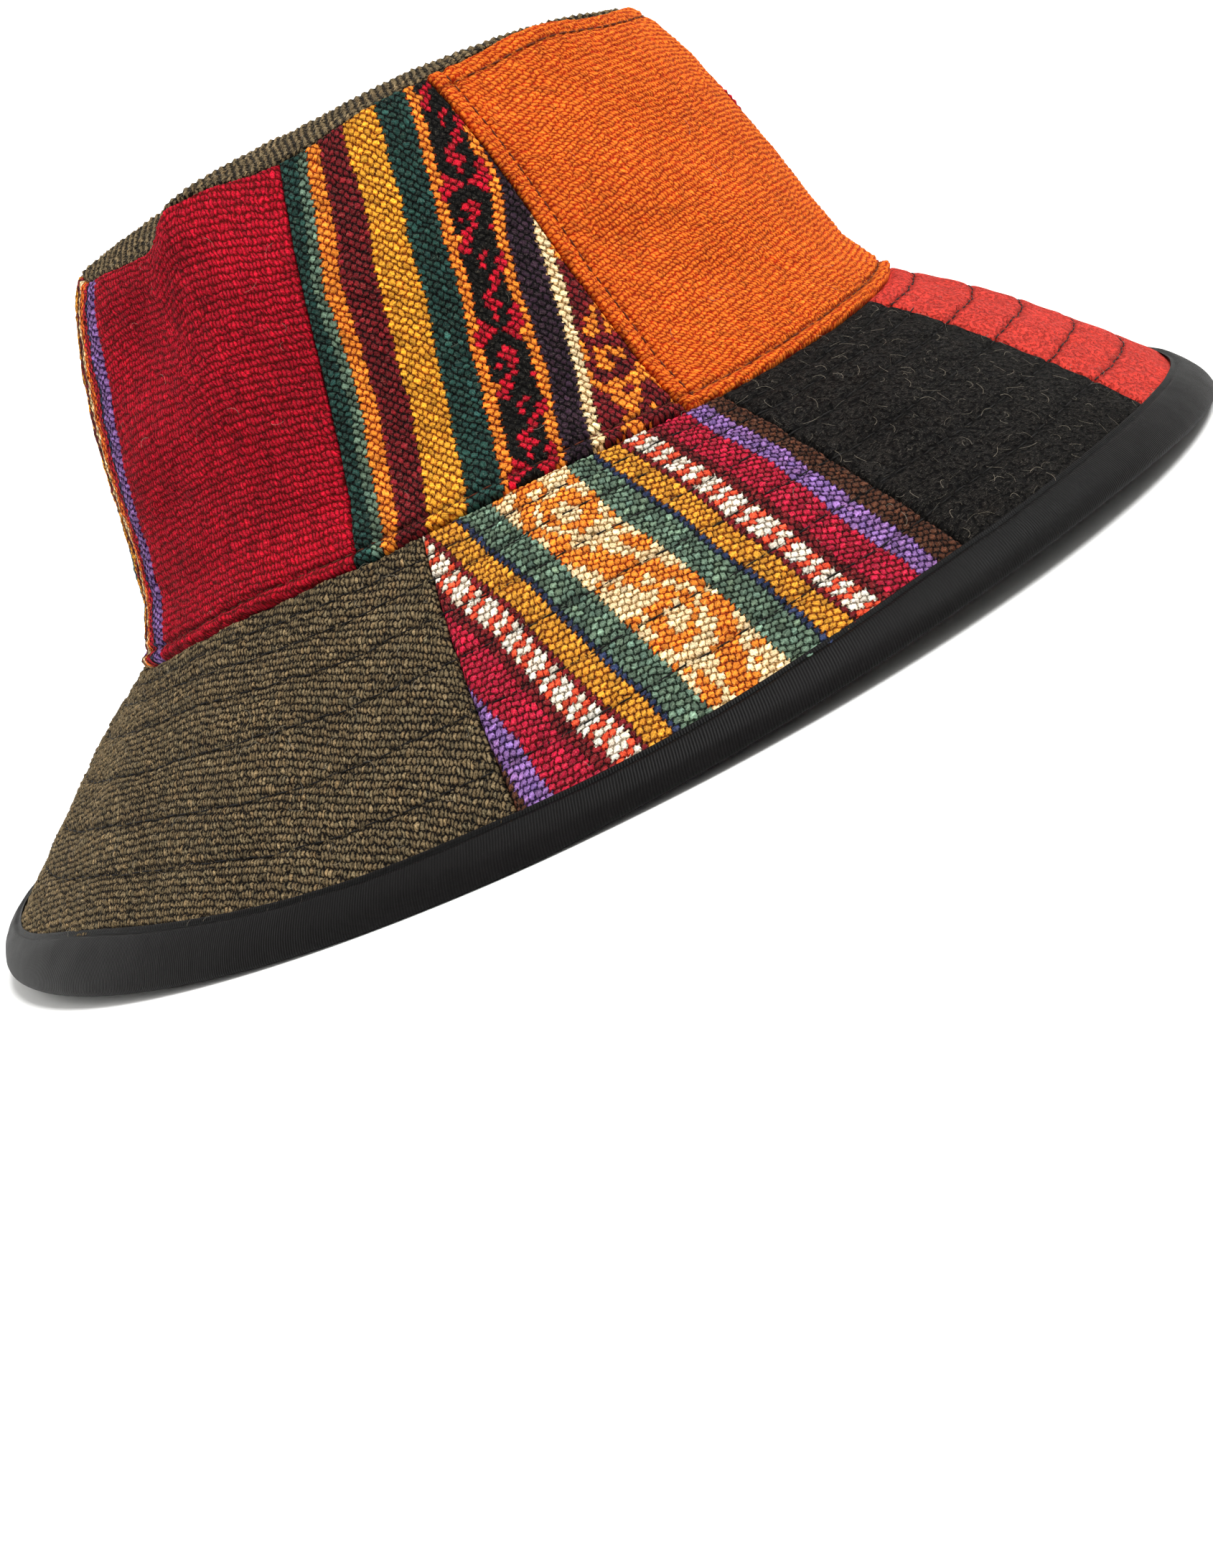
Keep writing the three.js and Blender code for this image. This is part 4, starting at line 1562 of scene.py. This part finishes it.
class HAT_OT_binding(bpy.types.Operator):
    """Binds the rim with folded tape"""

    bl_idname = "hat.binding"
    bl_label = "Binding"
    COLUMNS = 320
    MEAN_RADIUS = 157

    def execute(self, context):
        angle = -np.arange(self.COLUMNS) * 360.0 / self.COLUMNS
        loops = rounded(rounded(tape_section(angle)))
        count = loops.shape[1]
        number = np.arange(loops.shape[0] * count).reshape(loops.shape[0], count)
        number = np.concatenate([number, number[:1]])
        number = np.concatenate([number, number[:, :1]], axis=1)
        quads = np.stack([corner.ravel() for corner in cell_corners(number)], axis=-1)[:, ::-1]
        mesh = bpy.data.meshes.new("tape_brim_binding")
        mesh.from_pydata(loops.reshape(-1, 3) * MM, [], quads.tolist())
        around = np.arange(self.COLUMNS + 1) * (2 * math.pi * self.MEAN_RADIUS / self.COLUMNS)
        steps = np.linalg.norm(np.diff(loops[0], axis=0, append=loops[0][:1]), axis=-1)
        width = np.concatenate([[0], np.cumsum(steps)])
        flat = np.stack(np.meshgrid(around, width, indexing="ij"), axis=-1)
        spread = np.stack([corner.reshape(-1, 2) for corner in cell_corners(flat)], axis=1)[:, ::-1]
        cloth_map = mesh.uv_layers.new(name="cloth")
        cloth_map.data.foreach_set("uv", spread.ravel())
        bake_map = mesh.uv_layers.new(name="OFBake")
        bake_map.data.foreach_set("uv", into_box(spread.reshape(-1, 2), *TAPE_BAKE_BOX).ravel())
        mesh.uv_layers.active = cloth_map
        piece = finished("tape_brim_binding", mesh, tape_material())
        declare_cloth(piece, "brim_binding")
        return {"FINISHED"}


def geometry_tree(name, sockets):
    """A geometry tree with a mesh and named inputs coming in and a mesh going out."""
    tree = bpy.data.node_groups.new(name, "GeometryNodeTree")
    tree.interface.new_socket("Geometry", in_out="INPUT", socket_type="NodeSocketGeometry")
    for label, kind in sockets.items():
        tree.interface.new_socket(label, in_out="INPUT", socket_type="NodeSocket" + kind)
    tree.interface.new_socket("Geometry", in_out="OUTPUT", socket_type="NodeSocketGeometry")
    nodes = NodeTree(tree)
    return nodes, nodes.node("NodeGroupInput").outputs


def close_tree(nodes, instances, material):
    """Ends a geometry tree: the instances become one mesh of one material."""
    real = nodes.node("GeometryNodeRealizeInstances", {}, {"Geometry": instances.outputs[0]})
    inputs = {"Geometry": real.outputs[0], "Material": material}
    dyed = nodes.node("GeometryNodeSetMaterial", {}, inputs)
    nodes.node("NodeGroupOutput", {}, {"Geometry": dyed.outputs[0]})
    return nodes.tree


def chance_node(nodes, low, high, seed):
    """A random number, or a random vector, for each point."""
    first = 0 if isinstance(low, tuple) else 2
    settings = {"data_type": "FLOAT_VECTOR" if first == 0 else "FLOAT"}
    node = nodes.node("FunctionNodeRandomValue", settings, {first: low, first + 1: high, "Seed": seed})
    return node.outputs[first // 2]


# The shortest and the longest stitch: half its length as a share of the set length
STITCH_SHARES = (0.38, 0.56)


def stitch_tree():
    """Stitches that follow the edges of a mesh."""
    sockets = {"Pitch": "Float", "Length": "Float", "Radius": "Float", "Seed": "Int", "Thread": "Material"}
    nodes, given = geometry_tree("Stitches", sockets)
    path = nodes.node("GeometryNodeMeshToCurve", {}, {"Mesh": given["Geometry"]})
    inputs = {"Curve": path.outputs[0], "Length": given["Pitch"]}
    spaced = nodes.node("GeometryNodeResampleCurve", {"mode": "LENGTH"}, inputs)
    stitch = nodes.node("GeometryNodeMeshUVSphere", {}, {"Segments": 6, "Rings": 4, "Radius": 1.0})
    along = nodes.node("GeometryNodeInputTangent").outputs[0]
    turn = nodes.node("FunctionNodeAlignRotationToVector", {"axis": "Z"}, {"Vector": along})
    share = chance_node(nodes, *STITCH_SHARES, given["Seed"])
    length = Value(nodes, given["Length"]) * Value(nodes, share)
    size = nodes.node("ShaderNodeCombineXYZ", {}, {0: given["Radius"], 1: given["Radius"], 2: length})
    inputs = {"Points": spaced.outputs[0], "Instance": stitch.outputs[0]}
    inputs |= {"Rotation": turn.outputs[0], "Scale": size.outputs[0]}
    return close_tree(nodes, nodes.node("GeometryNodeInstanceOnPoints", {}, inputs), given["Thread"])


# A loose hair's bend, for a length of one; how far it may tilt and turn; and its least and greatest size
HAIR_BEND = ((-0.5, -0.1, -0.04), (0.05, 0.35, 0.2), (0.5, -0.05, 0.0))
HAIR_TILT = (0.2, 0.35, math.pi)
HAIR_SHARES = ((0.25, 0.15, 0.2), (1.0, 1.2, 0.8))


def fibre_tree():
    """Bent hairs that lie on a mesh, as thick as its fuzz attribute says."""
    sockets = {"Density": "Float", "Length": "Float", "Radius": "Float", "Seed": "Int", "Fibre": "Material"}
    nodes, given = geometry_tree("Loose fibres", sockets)
    fuzz = nodes.node("GeometryNodeInputNamedAttribute", {"data_type": "FLOAT"}, {"Name": "fuzz"})
    density = Value(nodes, given["Density"]) * Value(nodes, fuzz.outputs[0])
    inputs = {"Mesh": given["Geometry"], "Density": density, "Seed": given["Seed"]}
    roots = nodes.node("GeometryNodeDistributePointsOnFaces", {}, inputs)
    start, middle, end = HAIR_BEND
    inputs = {"Resolution": 4, "Start": start, "Middle": middle, "End": end}
    arc = nodes.node("GeometryNodeCurveQuadraticBezier", {}, inputs)
    thin = Value(nodes, given["Radius"]).math("DIVIDE", Value(nodes, given["Length"]))
    ring = nodes.node("GeometryNodeCurvePrimitiveCircle", {}, {"Resolution": 3, "Radius": thin})
    inputs = {"Curve": arc.outputs[0], "Profile Curve": ring.outputs[0], "Fill Caps": True}
    hair = nodes.node("GeometryNodeCurveToMesh", {}, inputs)
    tilted = [tuple(side * part for part in HAIR_TILT) for side in (-1, 1)]
    spin = chance_node(nodes, *tilted, given["Seed"])
    spin = nodes.node("FunctionNodeEulerToRotation", {}, {0: spin}).outputs[0]
    inputs = {"Rotation": roots.outputs["Rotation"], "Rotate By": spin}
    turn = nodes.node("FunctionNodeRotateRotation", {"rotation_space": "LOCAL"}, inputs)
    share = chance_node(nodes, *HAIR_SHARES, given["Seed"])
    size = nodes.node("ShaderNodeVectorMath", {"operation": "SCALE"}, {0: share, "Scale": given["Length"]})
    inputs = {"Points": roots.outputs["Points"], "Instance": hair.outputs[0]}
    inputs |= {"Rotation": turn.outputs[0], "Scale": size.outputs[0]}
    return close_tree(nodes, nodes.node("GeometryNodeInstanceOnPoints", {}, inputs), given["Fibre"])


def grown(name, mesh, tree, numbers, material):
    """Runs a geometry tree on a mesh and keeps the result as a plain piece of the hat."""
    carrier = bpy.data.objects.new(name, mesh)
    bpy.context.scene.collection.objects.link(carrier)
    modifier = carrier.modifiers.new("Growth", "NODES")
    modifier.node_group = tree
    for item in tree.interface.items_tree:
        if item.in_out == "INPUT" and item.name in numbers:
            modifier[item.identifier] = numbers[item.name]
    result = carrier.evaluated_get(bpy.context.evaluated_depsgraph_get())
    made = bpy.data.meshes.new_from_object(result)
    bpy.data.objects.remove(carrier)
    if not made.polygons:
        raise RuntimeError(name + " came out empty")
    piece = finished(name, made, material)
    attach(piece, BODY)
    return piece


def line_mesh(name, lines):
    """A mesh of edges only, from lines of points in mm."""
    mesh = bpy.data.meshes.new(name)
    points = np.concatenate(lines) * MM
    edges = []
    first = 0
    for line in lines:
        edges += [(first + i, first + i + 1) for i in range(len(line) - 1)]
        first += len(line)
    mesh.from_pydata(points.tolist(), edges, [])
    return mesh


def sewn_line(ring, angle, track, height):
    """Points on the cloth of a ring, at a height over its soft surface, in mm."""
    track = track + 0 * angle
    return cloth_point(angle, track, soft_relief(ring, angle, track) + height)


class HAT_OT_threads(bpy.types.Operator):
    """Quilts the brim and topstitches the crown"""

    bl_idname = "hat.threads"
    bl_label = "Stitches"
    THREAD_HEIGHT = 0.22
    STEP_DEGREES = 0.75

    def execute(self, context):
        settings = context.scene.hat_threads
        angle = np.arange(0, 360.01, self.STEP_DEGREES)
        quilting_lines = []
        for row in range(len(QUILT_ROWS)):
            turn = angle
            if row == SHORT_ROW:
                turn = np.arange(SHORT_ROW_START, SHORT_ROW_END, self.STEP_DEGREES)
            track = SEAM_TRACK + quilt_row_out(turn, row)
            quilting_lines.append(sewn_line("brim", turn, track, self.THREAD_HEIGHT))
        above_seam = SEAM_TRACK - SEAM_STITCH_INSET / TRACK_LENGTH["crown"]
        below_top = TOP_EDGE_TRACK + TOP_STITCH_INSET / TRACK_LENGTH["crown"]
        turn = np.arange(TOP_STITCHED[0] + 1, TOP_STITCHED[1] - 1, self.STEP_DEGREES)
        top_lines = [
            sewn_line("crown", angle, above_seam, self.THREAD_HEIGHT),
            sewn_line("crown", turn, below_top, self.THREAD_HEIGHT),
            self.lap_line(),
        ]
        tree = stitch_tree()
        black = thread_material("Black thread", "0D0B0A")
        quilt = {"Pitch": settings.quilt_pitch, "Length": settings.quilt_length, "Thread": black}
        quilt |= {"Radius": settings.radius, "Seed": 5}
        grown("stitches_brim", line_mesh("quilting", quilting_lines), tree, quilt, black)
        rust = thread_material("Rust thread", "481C0C")
        top = {"Pitch": settings.top_pitch, "Length": settings.top_length, "Thread": rust}
        top |= {"Radius": settings.radius, "Seed": 6}
        grown("stitches_crown", line_mesh("topstitching", top_lines), tree, top, rust)
        return {"FINISHED"}

    def lap_line(self):
        """The line beside the turned edge of the orange panel."""
        panel = CROWN_PANELS[0]
        outline = panel.outline
        track = np.linspace(TOP_EDGE_TRACK + 0.03, SEAM_TRACK - 0.03, 60)
        angle = outline.border(outline.end, track) - LAP_STITCH_INSET / outline.degree_size(track)
        fold = panel.stand(*outline.edge_distances(angle, track))
        return cloth_point(angle, track, soft_relief("crown", angle, track) + fold + self.THREAD_HEIGHT)


class HAT_OT_fibres(bpy.types.Operator):
    """Scatters loose wool fibres over the cloth"""

    bl_idname = "hat.fibres"
    bl_label = "Loose fibres"
    FUZZ = {"black_wool": 1.0, "olive_twill": 0.4, "coral_felt": 0.2}
    LITTLE_FUZZ = 0.07
    CELL = 5.0
    HEIGHT = 0.3
    RADIUS = 0.032

    def execute(self, context):
        settings = context.scene.hat_threads
        points = []
        quads = []
        fuzz = []
        first = 0
        for panel in CROWN_PANELS + BRIM_PANELS + (TIP,):
            outline = panel.outline
            _, _, cells, angle, track = cut_grid(outline, np.full(2, self.CELL), lambda grid: grid)
            points.append(sewn_line(outline.ring, angle, track, self.HEIGHT))
            quads.append(cells + first)
            fuzz.append(np.full(len(cells), self.FUZZ.get(panel.weave.slot, self.LITTLE_FUZZ)))
            first += len(angle)
        mesh = bpy.data.meshes.new("fibre_ground")
        mesh.from_pydata((np.concatenate(points) * MM).tolist(), [], np.concatenate(quads).tolist())
        mesh.attributes.new("fuzz", "FLOAT", "FACE").data.foreach_set("value", np.concatenate(fuzz))
        fibre = thread_material("Loose fibres", "857D6E")
        numbers = {"Density": settings.fibres * 100.0, "Length": settings.fibre_length}
        numbers |= {"Radius": self.RADIUS * MM, "Seed": 21, "Fibre": fibre}
        grown("fibres_loose", mesh, fibre_tree(), numbers, fibre)
        return {"FINISHED"}


# The photograph's size and its focal length in pixels, and the camera's place and bearings
PHOTO_SIZE = (1690, 2184)
FOCAL_PIXELS = 3285.9
SENSOR = 36.0
CAMERA_PLACE = Vector((-582.9, -4.0, 113.3)) * MM
CAMERA_RIGHT = Vector((-0.0811, -0.8952, -0.4383))
CAMERA_LOOK = Vector((0.9714, 0.0274, -0.2357))


def add_camera():
    """The camera of the photograph: its place, its roll and its angle of view."""
    look = CAMERA_LOOK.normalized()
    right = (CAMERA_RIGHT - look * CAMERA_RIGHT.dot(look)).normalized()
    turn = Matrix((right, right.cross(look), -look)).transposed()
    data = bpy.data.cameras.new("Camera")
    data.sensor_width = SENSOR
    data.lens = FOCAL_PIXELS / max(PHOTO_SIZE) * SENSOR
    data.clip_start = 0.01
    camera = bpy.data.objects.new("Camera", data)
    camera.matrix_world = Matrix.Translation(CAMERA_PLACE) @ turn.to_4x4()
    bpy.context.scene.collection.objects.link(camera)
    bpy.context.scene.camera = camera


def add_light(name, place, softness, strength):
    """An even light from one side, as soft as a wide studio light."""
    data = bpy.data.lights.new(name, "SUN")
    data.angle = softness
    data.energy = strength
    light = bpy.data.objects.new(name, data)
    light.location = place
    light.rotation_euler = Vector(place).to_track_quat("Z", "Y").to_euler()
    bpy.context.scene.collection.objects.link(light)


# How wide the backdrop's bend is, and how high it goes, in metres
BACKDROP_BEND = 0.8
BACKDROP_HEIGHT = 2.4


def add_backdrop(radius, material):
    """A floor that turns up into a round backdrop."""
    profile = [(0.0, 0.0), (0.4, 0.0), (0.8, 0.0)]
    for bend in np.linspace(0, math.pi / 2, 13):
        out = radius - BACKDROP_BEND + BACKDROP_BEND * math.sin(bend)
        profile.append((out, BACKDROP_BEND * (1 - math.cos(bend))))
    profile.append((radius, BACKDROP_HEIGHT))
    profile = np.array(profile)
    turns = np.radians(np.arange(0, 360, 3.75))
    points = [(0.0, 0.0, 0.0)]
    for turn in turns:
        points += [(r * math.cos(turn), r * math.sin(turn), z) for r, z in profile[1:]]
    rows = len(profile) - 1
    faces = []
    for i in range(len(turns)):
        here = 1 + i * rows
        there = 1 + (i + 1) % len(turns) * rows
        faces.append((0, here, there))
        faces += [(here + j, here + j + 1, there + j + 1, there + j) for j in range(rows - 1)]
    mesh = bpy.data.meshes.new("floor")
    mesh.from_pydata(points, [], faces)
    floor = finished("floor", mesh, material)


class HAT_OT_stage(bpy.types.Operator):
    """Sets up the floor, the light and the camera"""

    bl_idname = "hat.stage"
    bl_label = "Stage"
    KEY_FROM = (-0.5, -0.75, 1.4)
    FILL_FROM = (0.2, 1.2, 0.9)
    SKY_COLOUR = (1.0, 0.99, 0.97, 1.0)

    def execute(self, context):
        settings = context.scene.hat_stage
        add_camera()
        add_backdrop(settings.backdrop, floor_material(tuple(settings.floor)))
        add_light("Key", self.KEY_FROM, 0.5, settings.key)
        add_light("Fill", self.FILL_FROM, 0.9, settings.fill)
        world = bpy.data.worlds.new("Even light")
        world.use_nodes = True
        background = world.node_tree.nodes["Background"]
        background.inputs["Color"].default_value = self.SKY_COLOUR
        background.inputs["Strength"].default_value = settings.sky
        context.scene.world = world
        context.scene.view_settings.view_transform = "Standard"
        return {"FINISHED"}


class HAT_PT_panel(bpy.types.Panel):
    """Lists the steps of sewing the hat"""

    bl_idname = "HAT_PT_panel"
    bl_label = "Patchwork hat"
    bl_space_type = "VIEW_3D"
    bl_region_type = "UI"
    bl_category = "Hat"

    def draw(self, context):
        for operator in OPERATORS:
            self.layout.operator(operator.bl_idname)
        for settings in (context.scene.hat_yarns, context.scene.hat_threads, context.scene.hat_stage):
            for name in settings.__annotations__:
                self.layout.prop(settings, name)


OPERATORS = (
    HAT_OT_stage,
    HAT_OT_tip,
    HAT_OT_crown,
    HAT_OT_brim,
    HAT_OT_binding,
    HAT_OT_threads,
    HAT_OT_fibres,
)
GROUPS = (HatYarns, HatThreads, HatStage)


def register():
    for made in GROUPS + OPERATORS + (HAT_PT_panel,):
        bpy.utils.register_class(made)
    bpy.types.Scene.hat_yarns = PointerProperty(type=HatYarns)
    bpy.types.Scene.hat_threads = PointerProperty(type=HatThreads)
    bpy.types.Scene.hat_stage = PointerProperty(type=HatStage)


def unregister():
    del bpy.types.Scene.hat_stage
    del bpy.types.Scene.hat_threads
    del bpy.types.Scene.hat_yarns
    for made in reversed(GROUPS + OPERATORS + (HAT_PT_panel,)):
        bpy.utils.unregister_class(made)


def main():
    register()
    bpy.ops.hat.stage()
    bpy.ops.hat.tip()
    bpy.ops.hat.crown()
    bpy.ops.hat.brim()
    bpy.ops.hat.binding()
    bpy.ops.hat.threads()
    bpy.ops.hat.fibres()


if __name__ == "__main__":
    main()
